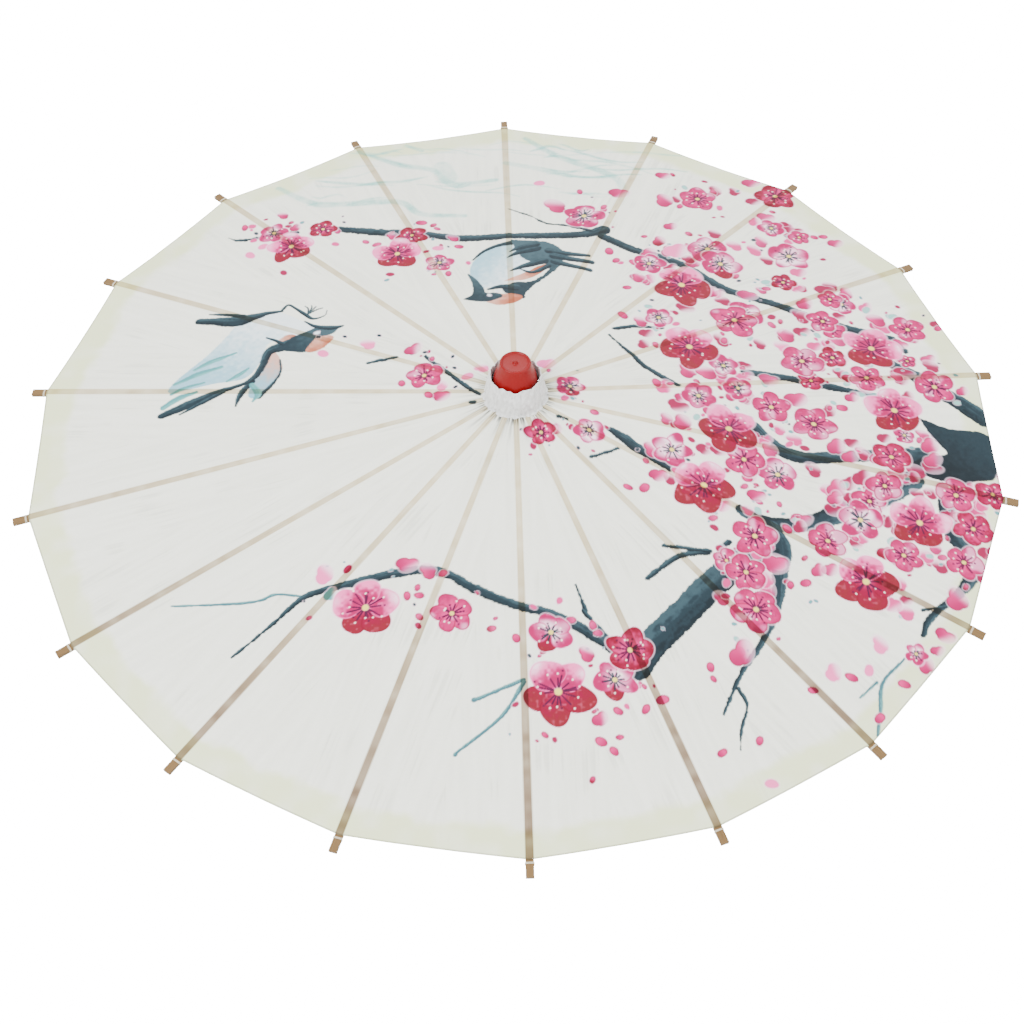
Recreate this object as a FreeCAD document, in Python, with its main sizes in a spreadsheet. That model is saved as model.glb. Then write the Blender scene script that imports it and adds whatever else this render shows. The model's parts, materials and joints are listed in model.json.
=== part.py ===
"""Oil paper umbrella with eighteen bamboo ribs, shown open.

The frame: +Z runs up the shaft to the crown, and the origin is the centre of the shaft's lower end.
Ribs stand at every twentieth degree round the shaft, so one points along +Y and one along -Y.
Each rib turns on the hinge wire of the top notch. Its stretcher is as long as the rib's own link,
from hinge to joint, so the runner goes straight up and down as all the ribs turn together.
"""
import FreeCAD, Part
import os
import re
import Sketcher

RIBS = 18
STEP_ANGLE = 360 / RIBS
UP = FreeCAD.Vector(0, 0, 1)

# Driving dimensions, in millimetres and degrees. Those with an equals sign follow the ones before.
SIZES = {
    "open_slope": 9,
    "hinge_radius": 20,
    "hinge_height": 495,
    "rib_length": 410,
    "rib_inner_width": 4.4,
    "rib_outer_width": 6.4,
    "rib_thickness": 3.2,
    "tongue_width": 2.2,
    "tongue_length": 7,
    "slot_clearance": 0.4,
    "end_clearance": 0.5,
    "wire_diameter": 1.1,
    "wire_clearance": 0.3,
    "joint_reach": 170,
    "joint_drop": 6,
    "joint_width": 5,
    "joint_foot": 18,
    "joint_nose": 7,
    "joint_wall": 2.4,
    "pin_diameter": 1.6,
    "pin_clearance": 0.3,
    "stretcher_width": 4.2,
    "stretcher_depth": 4,
    "elbow_length": 10.8,
    "flange_margin": 4,
    "flange_below": 4.5,
    "flange_above": 3,
    "hub_radius": 15,
    "hub_height": 11,
    "runner_above": 4.5,
    "runner_sleeve_radius": 12,
    "runner_sleeve_length": 32,
    "runner_clearance": 0.4,
    "shaft_radius": 7,
    "shaft_stub": 16,
    "shaft_easing": 1.5,
    "grip_length": 109,
    "node_ring_proud": 0.45,
    "node_ring_length": 4,
    "paper_thickness": 0.3,
    "paper_radius": 412,
    "paper_foot_gap": 1.2,
    "paper_inner_radius": "=hinge_radius + flange_margin + paper_foot_gap",
    "paper_seam": 0.3,
    "glue_gap": 0.25,
    "trim_margin": 30,
    "cap_radius": 19.6,
    "collar_wall": 0.8,
    "collar_foot_gap": 1.6,
    "collar_foot_radius": "=hinge_radius + flange_margin + collar_foot_gap + collar_wall",
    "collar_cap_gap": 0.7,
    "collar_top_radius": "=cap_radius + collar_cap_gap + collar_wall",
    "collar_height": 23,
    "collar_lift": 1.6,
    "cap_skirt": 8,
    "cap_top_radius": 12.8,
    "cap_height": 32,
    "cap_rim_round": 2.2,
    "cap_dish_depth": 1.5,
    "cap_nub_radius": 2.4,
    "cap_nub_height": 2.5,
    "cap_seat": 6,
    "cap_clearance": 0.2,
    "catch_width": 2.2,
    "catch_length": 34,
    "catch_proud": 2.8,
    "catch_heel": 1.8,
    "catch_thickness": 3.3,
    "catch_tip_depth": 4,
    "catch_tip_bevel": 0.8,
    "catch_slot_room": 3,
    "catch_pin_length": 12.6,
    "catch_pin_diameter": 1.4,
    "catch_gap": 0.6,
}

doc = FreeCAD.newDocument("oil_paper_umbrella")
sheet = doc.addObject("Spreadsheet::Sheet", "Sizes")
for row, (alias, size) in enumerate(SIZES.items(), start=1):
    sheet.set(f"A{row}", alias)
    sheet.set(f"B{row}", str(size))
    sheet.setAlias(f"B{row}", alias)
doc.recompute()

HALF_STEP = f"{STEP_ANGLE / 2} deg"
JOINT_ANGLE = "atan(joint_drop / joint_reach)"
LINK = "sqrt(joint_reach * joint_reach + joint_drop * joint_drop)"
LINK_SLOPE = f"(open_slope * 1 deg + {JOINT_ANGLE})"
ELBOW_RADIUS = f"(hinge_radius + {LINK} * cos({LINK_SLOPE}))"
ELBOW_HEIGHT = f"(hinge_height - {LINK} * sin({LINK_SLOPE}))"
RUNNER_HEIGHT = f"(hinge_height - 2 * {LINK} * sin({LINK_SLOPE}))"
RUNNER_BOTTOM = f"({RUNNER_HEIGHT} - flange_below - runner_sleeve_length)"
FLANGE_RADIUS = "(hinge_radius + flange_margin)"
SLOT_WIDTH = "(tongue_width + slot_clearance)"
CATCH_HEIGHT = f"({RUNNER_BOTTOM} - catch_gap - catch_length)"
CATCH_RADIUS = "(shaft_radius / 2)"


def bound(text):
    """The expression with every size read from the sheet."""
    return re.sub(r"\b[a-z_]+\b", lambda word: named(word.group()), text)


def named(word):
    return f"Sizes.{word}" if word in SIZES else word


def value(text):
    """What an expression comes to now."""
    found = sheet.evalExpression(text)
    return float(getattr(found, "Value", found))


def body(name, placement="placement(vector(0; 0; 0); rotation(vector(0; 0; 1); 0))"):
    made = doc.addObject("PartDesign::Body", name)
    made.Label = name
    made.setExpression("Placement", bound(placement))
    return made


def sketch(owner, plane):
    made = owner.newObject("Sketcher::SketchObject", f"{owner.Name}_sketch")
    origin = [item for item in owner.Origin.OriginFeatures if item.Role == plane]
    made.AttachmentSupport = [(origin[0], "")]
    made.MapMode = "FlatFace"
    return made


def fix(made, geometry, point, across, along):
    """Holds one point of a sketch at two expressions, counted from the sketch's origin."""
    for kind, text in (("DistanceX", across), ("DistanceY", along)):
        number = made.addConstraint(Sketcher.Constraint(kind, -1, 1, geometry, point, value(text)))
        made.setExpression(f"Constraints[{number}]", bound(text))


def outline(made, corners):
    """A closed outline of straight lines through corners, each a pair of expressions."""
    places = [FreeCAD.Vector(value(across), value(along), 0) for across, along in corners]
    first = made.GeometryCount
    count = len(corners)
    for i in range(count):
        made.addGeometry(Part.LineSegment(places[i], places[(i + 1) % count]))
    for i, (across, along) in enumerate(corners):
        following = first + (i + 1) % count
        made.addConstraint(Sketcher.Constraint("Coincident", first + i, 2, following, 1))
        fix(made, first + i, 1, across, along)


def circle(made, across, along, diameter):
    centre = FreeCAD.Vector(value(across), value(along), 0)
    number = made.addGeometry(Part.Circle(centre, UP, value(diameter) / 2))
    fix(made, number, 3, across, along)
    size = made.addConstraint(Sketcher.Constraint("Diameter", number, value(diameter)))
    made.setExpression(f"Constraints[{size}]", bound(diameter))


def thick(owner, kind, made, length, symmetric=True):
    """A Pad or Pocket of a sketch, to both sides of its plane or to one."""
    feature = owner.newObject(f"PartDesign::{kind}", f"{owner.Name}_{kind.lower()}")
    feature.Profile = made
    feature.SideType = "Symmetric" if symmetric else "One side"
    feature.setExpression("Length", bound(length))
    return feature


def turned(owner, corners, kind="Revolution"):
    """A profile of radius and height, turned about the shaft's line."""
    made = sketch(owner, "XZ_Plane")
    outline(made, corners)
    feature = owner.newObject(f"PartDesign::{kind}", f"{owner.Name}_{kind.lower()}")
    feature.Profile = made
    feature.ReferenceAxis = (made, ["V_Axis"])
    feature.Angle = 360
    return feature


def slab(owner, plane, kind, corners, length):
    made = sketch(owner, plane)
    outline(made, corners)
    return thick(owner, kind, made, length)


def disc(owner, plane, kind, across, along, diameter, length):
    made = sketch(owner, plane)
    circle(made, across, along, diameter)
    return thick(owner, kind, made, length)


def rectangle(low_across, low_along, high_across, high_along):
    return [
        (low_across, low_along),
        (high_across, low_along),
        (high_across, high_along),
        (low_across, high_along),
    ]


def around(index, inner):
    """The placement of a piece that stands at one rib's place round the shaft."""
    turn = 90 + STEP_ANGLE * index
    return f"placement(vector(0; 0; 0); rotation(vector(0; 0; 1); {turn})) * {inner}"


def group(name, members):
    """One node of separate solids."""
    made = doc.addObject("Part::Compound", name)
    made.Label = name
    made.Links = members
    return made


RIB_FRAME = "placement(vector(hinge_radius; 0; hinge_height); rotation(vector(0; 1; 0); open_slope))"


def rib(index):
    """A split of bamboo. Its own frame has the hinge at its origin and X along the rib to the tip."""
    made = body(f"rib_{index + 1:02d}", around(index, RIB_FRAME))

    def half_width(reach):
        return f"((rib_inner_width + (rib_outer_width - rib_inner_width) * {reach} / rib_length) / 2)"

    near = half_width("tongue_length")
    far = half_width("rib_length")
    blade = [
        ("tongue_length", f"-{near}"),
        ("rib_length", f"-{far}"),
        ("rib_length", far),
        ("tongue_length", near),
    ]
    slab(made, "XY_Plane", "Pad", blade, "rib_thickness")
    tongue = rectangle("0", "-rib_thickness / 2", "tongue_length + 1", "rib_thickness / 2")
    slab(made, "XZ_Plane", "Pad", tongue, "tongue_width")
    disc(made, "XZ_Plane", "Pad", "0", "0", "rib_thickness", "tongue_width")
    foot = "joint_foot / 2"
    nose = "joint_nose / 2"
    bottom = "-joint_drop - joint_wall"
    knuckle = [
        (f"joint_reach - {foot}", "-rib_thickness / 2"),
        (f"joint_reach - {nose}", bottom),
        (f"joint_reach + {nose}", bottom),
        (f"joint_reach + {foot}", "-rib_thickness / 2"),
        (f"joint_reach + {foot}", "-rib_thickness / 2 + 1"),
        (f"joint_reach - {foot}", "-rib_thickness / 2 + 1"),
    ]
    slab(made, "XZ_Plane", "Pad", knuckle, "joint_width")
    slot = rectangle(
        f"joint_reach - {foot} - 1",
        f"{bottom} - 1",
        f"joint_reach + {foot} + 1",
        "-joint_drop + stretcher_depth / 2 + end_clearance",
    )
    slab(made, "XZ_Plane", "Pocket", slot, SLOT_WIDTH)
    bore = "pin_diameter + pin_clearance"
    disc(made, "XZ_Plane", "Pocket", "joint_reach", "-joint_drop", bore, "joint_width + 2")
    eye = "wire_diameter + wire_clearance"
    made.Tip = disc(made, "XZ_Plane", "Pocket", "0", "0", eye, "tongue_width + 2")
    return made


def stretcher(index):
    """A stretcher and its joint pin. Its frame has the rib joint at its origin, X to the runner."""
    lean = f"placement(vector({ELBOW_RADIUS}; 0; {ELBOW_HEIGHT}); rotation(vector(0; 0; 1); 180))"
    fall = f"placement(vector(0; 0; 0); rotation(vector(0; 1; 0); {LINK_SLOPE}))"
    place = around(index, f"{lean} * {fall}")
    made = body(f"stretcher_{index + 1:02d}_blade", place)
    half = "stretcher_depth / 2"
    blade = rectangle("elbow_length", f"-{half}", f"{LINK} - tongue_length", half)
    slab(made, "XZ_Plane", "Pad", blade, "stretcher_width")
    slab(made, "XZ_Plane", "Pad", rectangle("0", f"-{half}", LINK, half), "tongue_width")
    disc(made, "XZ_Plane", "Pad", "0", "0", "stretcher_depth", "tongue_width")
    disc(made, "XZ_Plane", "Pad", LINK, "0", "stretcher_depth", "tongue_width")
    disc(made, "XZ_Plane", "Pocket", "0", "0", "pin_diameter", "tongue_width + 2")
    eye = "wire_diameter + wire_clearance"
    made.Tip = disc(made, "XZ_Plane", "Pocket", LINK, "0", eye, "tongue_width + 2")
    pin = body(f"stretcher_{index + 1:02d}_pin", place)
    pin.Tip = disc(pin, "XZ_Plane", "Pad", "0", "0", "pin_diameter", "joint_width")
    return group(f"stretcher_{index + 1:02d}", [made, pin])


def gore(index):
    """One fold of paper over a rib, out to half way to each neighbour, with straight rim edges."""
    made = body(f"canopy_gore_{index + 1:02d}", around(index, RIB_FRAME))
    fold = f"sin(open_slope * 1 deg) * tan({HALF_STEP})"
    wide = f"(paper_radius * tan({HALF_STEP}))"
    under = "(rib_thickness / 2 + glue_gap)"
    over = f"({under} + paper_thickness)"
    folded = [
        (f"-{wide}", f"{under} - {wide} * {fold}"),
        ("0", under),
        (wide, f"{under} - {wide} * {fold}"),
        (wide, f"{over} - {wide} * {fold}"),
        ("0", over),
        (f"-{wide}", f"{over} - {wide} * {fold}"),
    ]
    band = sketch(made, "YZ_Plane")
    outline(band, folded)
    thick(made, "Pad", band, "paper_radius", symmetric=False)

    def along_rib(radius):
        return f"(({radius} - hinge_radius) / cos(open_slope * 1 deg))"

    def half_gore(radius):
        return f"({radius} * tan({HALF_STEP}) - paper_seam / 2)"

    corner = f"(paper_radius * cos({HALF_STEP}) * cos({HALF_STEP}))"
    inner = "paper_inner_radius"
    waste = sketch(made, "XY_Plane")
    side = f"({wide} + trim_margin)"
    outline(waste, rectangle("-trim_margin", f"-{side}", "paper_radius + trim_margin", side))
    kept = [
        (along_rib(inner), f"-{half_gore(inner)}"),
        (along_rib(corner), f"-{half_gore(corner)}"),
        (along_rib("paper_radius"), "0"),
        (along_rib(corner), half_gore(corner)),
        (along_rib(inner), half_gore(inner)),
    ]
    outline(waste, kept)
    made.Tip = thick(made, "Pocket", waste, "4 * trim_margin")
    return made


def slotted(owner, height):
    """Eighteen radial slots round a turned ring, and a groove that lets the hinge wire in.

    The first slot lies along +Y, where the first rib stands.
    """
    start = "hinge_radius - stretcher_depth / 2 - end_clearance"
    end = f"{FLANGE_RADIUS} + flange_margin"
    cut = rectangle(f"-{SLOT_WIDTH} / 2", start, f"{SLOT_WIDTH} / 2", end)
    made = sketch(owner, "XY_Plane")
    made.setExpression("AttachmentOffset.Base.z", bound(height))
    outline(made, cut)
    pocket = thick(owner, "Pocket", made, "2 * flange_below + 2 * runner_above")
    doc.recompute()
    ring = owner.newObject("PartDesign::PolarPattern", f"{owner.Name}_slots")
    ring.Originals = [pocket]
    axis = [item for item in owner.Origin.OriginFeatures if item.Role == "Z_Axis"]
    ring.Axis = (axis[0], [""])
    ring.Angle = 360
    ring.Occurrences = RIBS
    owner.Tip = ring
    half = "((wire_diameter + wire_clearance) / 2)"
    groove = rectangle(
        "hinge_radius - wire_diameter / 2",
        f"{height} - {half}",
        f"{FLANGE_RADIUS} + flange_margin",
        f"{height} + {half}",
    )
    owner.Tip = turned(owner, groove, "Groove")


def hinge_wire(name, height):
    wire = doc.addObject("Part::Torus", name)
    wire.Label = name
    wire.setExpression("Radius1", bound("hinge_radius"))
    wire.setExpression("Radius2", bound("wire_diameter / 2"))
    wire.setExpression("Placement.Base.z", bound(height))
    return wire


def top_notch():
    """The slotted head that is fixed on the shaft and holds the ribs' hinge wire."""
    made = body("top_notch_head")
    low = "hinge_height - flange_below"
    high = "hinge_height + flange_above"
    profile = [
        ("shaft_radius", low),
        (FLANGE_RADIUS, low),
        (FLANGE_RADIUS, high),
        ("hub_radius", high),
        ("hub_radius", f"{high} + hub_height"),
        ("shaft_radius", f"{high} + hub_height"),
    ]
    turned(made, profile)
    slotted(made, "hinge_height")
    return group("top_notch", [made, hinge_wire("top_notch_wire", "hinge_height")])


def runner():
    """The slotted slide below the notch, with a sleeve that guides it on the shaft."""
    made = body("runner_slide")
    bore = "(shaft_radius + runner_clearance)"
    profile = [
        (bore, RUNNER_BOTTOM),
        ("runner_sleeve_radius", RUNNER_BOTTOM),
        ("runner_sleeve_radius", f"{RUNNER_HEIGHT} - flange_below"),
        (FLANGE_RADIUS, f"{RUNNER_HEIGHT} - flange_below"),
        (FLANGE_RADIUS, f"{RUNNER_HEIGHT} + runner_above"),
        (bore, f"{RUNNER_HEIGHT} + runner_above"),
    ]
    turned(made, profile)
    slotted(made, RUNNER_HEIGHT)
    return group("runner", [made, hinge_wire("runner_wire", RUNNER_HEIGHT)])


def shaft():
    """The bamboo shaft, eased at its foot, with the catch's slot and the bore for its pin.

    A joint of the bamboo stands proud above the grip as a low ring.
    """
    made = body("shaft")
    top = "hinge_height + flange_above + hub_height + shaft_stub"
    profile = [
        ("0", "0"),
        ("shaft_radius - shaft_easing", "0"),
        ("shaft_radius", "shaft_easing"),
        ("shaft_radius", "grip_length"),
        ("shaft_radius + node_ring_proud", "grip_length + node_ring_length / 3"),
        ("shaft_radius + node_ring_proud", "grip_length + node_ring_length * 2 / 3"),
        ("shaft_radius", "grip_length + node_ring_length"),
        ("shaft_radius", top),
        ("0", top),
    ]
    turned(made, profile)
    slot = rectangle(
        "shaft_radius / 10",
        f"{CATCH_HEIGHT} - catch_slot_room",
        "1.3 * shaft_radius",
        f"{CATCH_HEIGHT} + catch_length + catch_slot_room",
    )
    slab(made, "XZ_Plane", "Pocket", slot, "catch_width + 2 * slot_clearance")
    bore = "catch_pin_diameter + pin_clearance"
    made.Tip = disc(made, "XZ_Plane", "Pocket", CATCH_RADIUS, CATCH_HEIGHT, bore, "3 * shaft_radius")
    return made


def catch():
    """The sprung catch that holds the runner up, and the pin that it turns on in the shaft."""
    place = f"placement(vector({CATCH_RADIUS}; 0; {CATCH_HEIGHT}); rotation(vector(0; 0; 1); 0))"
    made = body("catch_leaf", place)
    proud = "(shaft_radius / 2 + catch_proud)"
    leaf = [
        ("-catch_heel * 2 / 3", "0"),
        ("catch_heel", "0"),
        ("catch_thickness - catch_heel / 4", "catch_length / 6"),
        (proud, "catch_length - catch_tip_bevel"),
        (f"{proud} - catch_tip_bevel", "catch_length"),
        (f"{proud} - catch_tip_depth", "catch_length"),
        ("-catch_heel / 4", "catch_length / 4"),
    ]
    slab(made, "XZ_Plane", "Pad", leaf, "catch_width")
    disc(made, "XZ_Plane", "Pad", "0", "0", "2 * catch_heel", "catch_width")
    made.Tip = disc(made, "XZ_Plane", "Pocket", "0", "0", "catch_pin_diameter", "catch_width + 2")
    pin = body("catch_pin", place)
    pin.Tip = disc(pin, "XZ_Plane", "Pad", "0", "0", "catch_pin_diameter", "catch_pin_length")
    return group("catch", [made, pin])


def crown_collar():
    """The stiff paper ring that stands on the notch's flange round the cap."""
    made = body("crown_collar")
    low = "(hinge_height + collar_lift)"
    lip = "hinge_height + flange_above"
    high = f"({low} + collar_height)"
    lean = "(collar_foot_radius - collar_top_radius) / collar_height"
    inner = f"(collar_foot_radius - collar_wall - {lean} * (flange_above - collar_lift))"
    profile = [
        (FLANGE_RADIUS, low),
        ("collar_foot_radius", low),
        ("collar_top_radius", high),
        ("collar_top_radius - collar_wall", high),
        (inner, lip),
        (FLANGE_RADIUS, lip),
    ]
    made.Tip = turned(made, profile)
    return made


def finial_cap():
    """The tapered cap with a dished top and a small peak, bored to sit over the notch and shaft."""
    made = body("finial_cap")
    seat = "(hinge_height + flange_above + hub_height)"
    low = f"({seat} - cap_seat)"
    top = f"({low} + cap_height)"
    stub = "(shaft_radius + cap_clearance)"
    socket = f"({seat} + shaft_stub + cap_clearance)"
    profile = [
        ("0", socket),
        (stub, socket),
        (stub, seat),
        ("hub_radius + cap_clearance", seat),
        ("hub_radius + cap_clearance", low),
        ("cap_radius", low),
        ("cap_radius", f"{low} + cap_skirt"),
        ("cap_top_radius", f"{top} - cap_rim_round"),
        ("cap_top_radius - cap_rim_round / 3", f"{top} - cap_rim_round / 3"),
        ("cap_top_radius - cap_rim_round", top),
        ("cap_top_radius - 2 * cap_rim_round", f"{top} - cap_dish_depth * 2 / 3"),
        ("cap_nub_radius", f"{top} - cap_dish_depth"),
        ("cap_nub_radius / 3", f"{top} - cap_dish_depth + cap_nub_height * 4 / 5"),
        ("0", f"{top} - cap_dish_depth + cap_nub_height"),
    ]
    made.Tip = turned(made, profile)
    return made


nodes = [shaft(), top_notch(), runner(), catch(), crown_collar(), finial_cap()]
for place in range(RIBS):
    nodes += [rib(place), stretcher(place), gore(place)]
doc.recompute()

failed = [item.Name for item in doc.Objects if {"Invalid", "Error"} & set(item.State)]
if failed:
    raise RuntimeError(f"these objects failed: {failed}")
for node in nodes:
    if node.Shape.isNull() or not node.Shape.isValid() or not node.Shape.Solids:
        raise RuntimeError(f"{node.Label} has no valid solid")

os.makedirs("parts", exist_ok=True)
for node in nodes:
    node.Shape.exportStep(f"parts/{node.Label}.step")
    print(node.Label, len(node.Shape.Solids), round(node.Shape.Volume, 2))
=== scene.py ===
"""Oil paper umbrella, shown open, with a printed canopy on eighteen bamboo ribs.

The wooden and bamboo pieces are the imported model's own. This file makes the canopy, its print, the
gathered collar, the cap and the thread at the rib tips, and gives every piece its finish.
Lengths are in metres, except in the print, whose plan is laid out in millimetres seen from above,
with x to the right and y away, and the crown at its centre.
"""

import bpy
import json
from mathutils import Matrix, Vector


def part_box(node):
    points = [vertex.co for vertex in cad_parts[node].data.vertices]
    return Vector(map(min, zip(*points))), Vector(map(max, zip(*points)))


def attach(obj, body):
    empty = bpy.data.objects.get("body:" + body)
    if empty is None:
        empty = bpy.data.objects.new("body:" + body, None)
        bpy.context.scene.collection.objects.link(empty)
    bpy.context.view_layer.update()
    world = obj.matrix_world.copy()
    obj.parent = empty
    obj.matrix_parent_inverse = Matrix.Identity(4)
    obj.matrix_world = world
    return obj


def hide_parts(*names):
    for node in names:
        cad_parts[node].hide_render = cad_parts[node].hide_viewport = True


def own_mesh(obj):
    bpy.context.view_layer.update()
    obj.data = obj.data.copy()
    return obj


bl_info = {
    "name": "Oil Paper Umbrella",
    "version": (1, 0, 0),
    "blender": (4, 5, 0),
    "location": "View3D > Sidebar > Umbrella",
    "description": "Makes an open oil paper umbrella round its packed frame",
    "category": "Add Mesh",
}

import json
import math

import bpy
import numpy as np
from bpy.props import FloatProperty, FloatVectorProperty, IntProperty, PointerProperty

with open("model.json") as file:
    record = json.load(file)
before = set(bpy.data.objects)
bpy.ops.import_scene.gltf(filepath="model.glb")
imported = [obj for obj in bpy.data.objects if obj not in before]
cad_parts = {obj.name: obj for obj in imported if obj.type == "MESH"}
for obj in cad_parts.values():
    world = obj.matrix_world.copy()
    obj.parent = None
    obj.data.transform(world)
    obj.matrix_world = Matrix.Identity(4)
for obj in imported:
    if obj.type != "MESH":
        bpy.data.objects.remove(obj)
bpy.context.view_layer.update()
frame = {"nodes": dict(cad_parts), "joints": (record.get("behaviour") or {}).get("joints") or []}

MM = 0.001
RIBS = 18
HALF_STEP = math.pi / RIBS
JOINTS = {joint["name"]: joint for joint in frame["joints"]}
HINGE = JOINTS["canopy_fold"]["pos_m"]


def rib_turn(number):
    """The bearing of a rib. The first points along +Y."""
    return math.radians(90 + number * 360 / RIBS)


def linear(parts):
    """Colours in parts of 255 as the linear light that Blender's colours hold."""
    share = np.clip(parts, 0, 255) / 255
    return np.where(share < 0.04045, share / 12.92, ((share + 0.055) / 1.055) ** 2.4)


def parts_of_255(colour):
    """A panel colour of linear light, back in the parts of 255 in which the print is mixed."""
    light = np.array(colour)
    return 255 * np.where(light < 0.0031308, light * 12.92, 1.055 * light ** (1 / 2.4) - 0.055)


def length(name, text, size):
    return FloatProperty(name=name, description=text, default=size, min=0.0, unit="LENGTH")


def colour(name, text, red, green, blue):
    shade = tuple(linear((red, green, blue)).tolist())
    return FloatVectorProperty(name=name, description=text, default=shade, size=3, subtype="COLOR")


class UmbrellaSizes(bpy.types.PropertyGroup):
    slope: FloatProperty(
        name="Slope",
        description="How far each rib falls below level when open",
        default=math.radians(9),
        subtype="ANGLE",
    )
    paper_radius: length("Paper radius", "From the crown to the paper's edge along a rib", 0.412)
    paper_start: length("Paper start", "Where the paper begins, under the collar", 0.0252)
    paper_lift: length("Paper lift", "From a rib's centre line up to the paper", 0.002)
    paper_sag: length("Paper sag", "How far the paper hangs between two ribs at the rim", 0.002)
    rib_inner: length("Rib inner width", "Width of a rib at the notch", 0.0044)
    rib_outer: length("Rib outer width", "Width of a rib at its tip", 0.0064)
    rib_thickness: length("Rib thickness", "Depth of a rib", 0.0032)
    rib_length: length("Rib length", "From the hinge to the tip", 0.410)
    hem: length("Hem", "Width of the tinted band along the rim", 0.026)
    thread: length("Thread", "Thickness of the thread that binds the tips", 0.0005)
    seed: IntProperty(name="Seed", description="Picks the small irregularities", default=7)


class UmbrellaColours(bpy.types.PropertyGroup):
    paper: colour("Paper", "The oiled paper", 236, 238, 226)
    hem: colour("Hem", "The tinted band along the rim", 222, 229, 186)
    collar: colour("Collar", "The gathered collar at the crown", 222, 223, 222)
    cap: colour("Cap", "The turned cap", 122, 6, 8)
    bamboo: colour("Bamboo", "Split bamboo of the ribs", 116, 90, 54)
    shaft: colour("Shaft", "The bamboo shaft", 156, 120, 66)
    wood: colour("Wood", "The turned notch and runner", 152, 114, 68)
    thread: colour("Thread", "The thread at the rib tips", 206, 196, 172)


def sizes():
    return bpy.context.scene.umbrella_sizes


def colours():
    return bpy.context.scene.umbrella_colours


# ---------------------------------------------------------------- surfaces


def ease(low, high, at):
    """Zero below low, one above high, and a smooth rise between them."""
    share = np.clip((at - low) / (high - low), 0, 1)
    return share * share * (3 - 2 * share)


def turned(x, y, turn):
    """Places carried round the origin by a turn."""
    return x * math.cos(turn) - y * math.sin(turn), x * math.sin(turn) + y * math.cos(turn)


def mottle(x, y, scale, layer):
    """Smooth random heights from 0 to 1: a square lattice of them, eased between its points."""
    count = 64
    lattice = np.random.default_rng(layer).random((count, count))
    left = np.floor(x / scale).astype(int)
    low = np.floor(y / scale).astype(int)
    across = ease(0, 1, x / scale - left)
    up = ease(0, 1, y / scale - low)
    right = (left + 1) % count
    high = (low + 1) % count
    left = left % count
    low = low % count
    lower = lattice[left, low] * (1 - across) + lattice[right, low] * across
    upper = lattice[left, high] * (1 - across) + lattice[right, high] * across
    return lower * (1 - up) + upper * up


def new_object(name, points, quads, triangles=None):
    """A smooth mesh object of the points, with four-cornered and three-cornered faces."""
    mesh = bpy.data.meshes.new(name)
    corners = np.asarray(quads, np.int32).ravel()
    starts = np.arange(len(quads), dtype=np.int32) * 4
    if triangles is not None and len(triangles):
        starts = np.concatenate([starts, len(corners) + np.arange(len(triangles)) * 3])
        corners = np.concatenate([corners, np.asarray(triangles, np.int32).ravel()])
    mesh.vertices.add(len(points))
    mesh.vertices.foreach_set("co", np.asarray(points, np.float32).ravel())
    mesh.loops.add(len(corners))
    mesh.loops.foreach_set("vertex_index", corners.astype(np.int32))
    mesh.polygons.add(len(starts))
    mesh.polygons.foreach_set("loop_start", starts.astype(np.int32))
    mesh.update(calc_edges=True)
    mesh.validate()
    mesh.polygons.foreach_set("use_smooth", np.ones(len(starts), bool))
    made = bpy.data.objects.new(name, mesh)
    bpy.context.scene.collection.objects.link(made)
    return made


def grid_faces(rows, columns, wrap=False):
    """Faces of a grid of points counted row by row. A wrapped grid's last column meets its first."""
    count = columns if wrap else columns - 1
    row, column = np.mgrid[0 : rows - 1, 0:count]
    first = (row * columns + column).ravel()
    second = (row * columns + (column + 1) % columns).ravel()
    return np.stack([first, second, second + columns, first + columns], axis=1)


def smooth_line(points, steps=8):
    """A Catmull-Rom curve through rows of numbers, with as many steps to each span."""
    given = np.asarray(points, float)
    padded = np.vstack([2 * given[0] - given[1], given, 2 * given[-1] - given[-2]])
    part = (np.arange(steps) / steps)[None, :, None]
    before, start, end, after = (padded[i : len(given) - 1 + i, None, :] for i in range(4))
    bend = 2 * before - 5 * start + 4 * end - after
    twist = 3 * (start - end) + after - before
    curve = start + 0.5 * part * (end - before + part * (bend + part * twist))
    return np.vstack([curve.reshape(-1, given.shape[1]), given[-1]])


def turned_surface(name, profile, segments):
    """A profile of radius and height carried round the shaft's line. Its ends close on the line."""
    outline = smooth_line(profile, 6)
    angle = np.arange(segments) * 2 * math.pi / segments
    radius = np.maximum(outline[:, :1], 0.00002)
    height = np.repeat(outline[:, 1:], segments, axis=1)
    points = np.stack([radius * np.cos(angle), radius * np.sin(angle), height], axis=-1).reshape(-1, 3)
    return new_object(name, points, grid_faces(len(outline), segments, wrap=True))


# ---------------------------------------------------------------- the print


class Plan:
    """The canopy's points seen from above, in millimetres, and the colour that each has so far."""

    def __init__(self, across, away, lateral, along, rim_gap):
        self.x = across
        self.y = away
        self.lateral = lateral
        self.along = along
        self.rim_gap = rim_gap
        self.bearing = np.arctan2(away, across)
        self.sector = np.round(self.bearing / HALF_STEP)
        self.shade = np.empty((len(across), 3))

    def near(self, low_x, high_x, low_y, high_y):
        """The points inside a rectangle."""
        inside = (self.x > low_x) & (self.x < high_x) & (self.y > low_y) & (self.y < high_y)
        return np.flatnonzero(inside)

    def lay(self, spot, cover, tone):
        """Covers some points with a tone, each as much as its cover says."""
        self.shade[spot] += (tone - self.shade[spot]) * cover[:, None]


# How far a painted edge blurs to each side, and a depth far outside any shape, in millimetres.
EDGE = 0.45
OUTSIDE = -99.0
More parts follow.
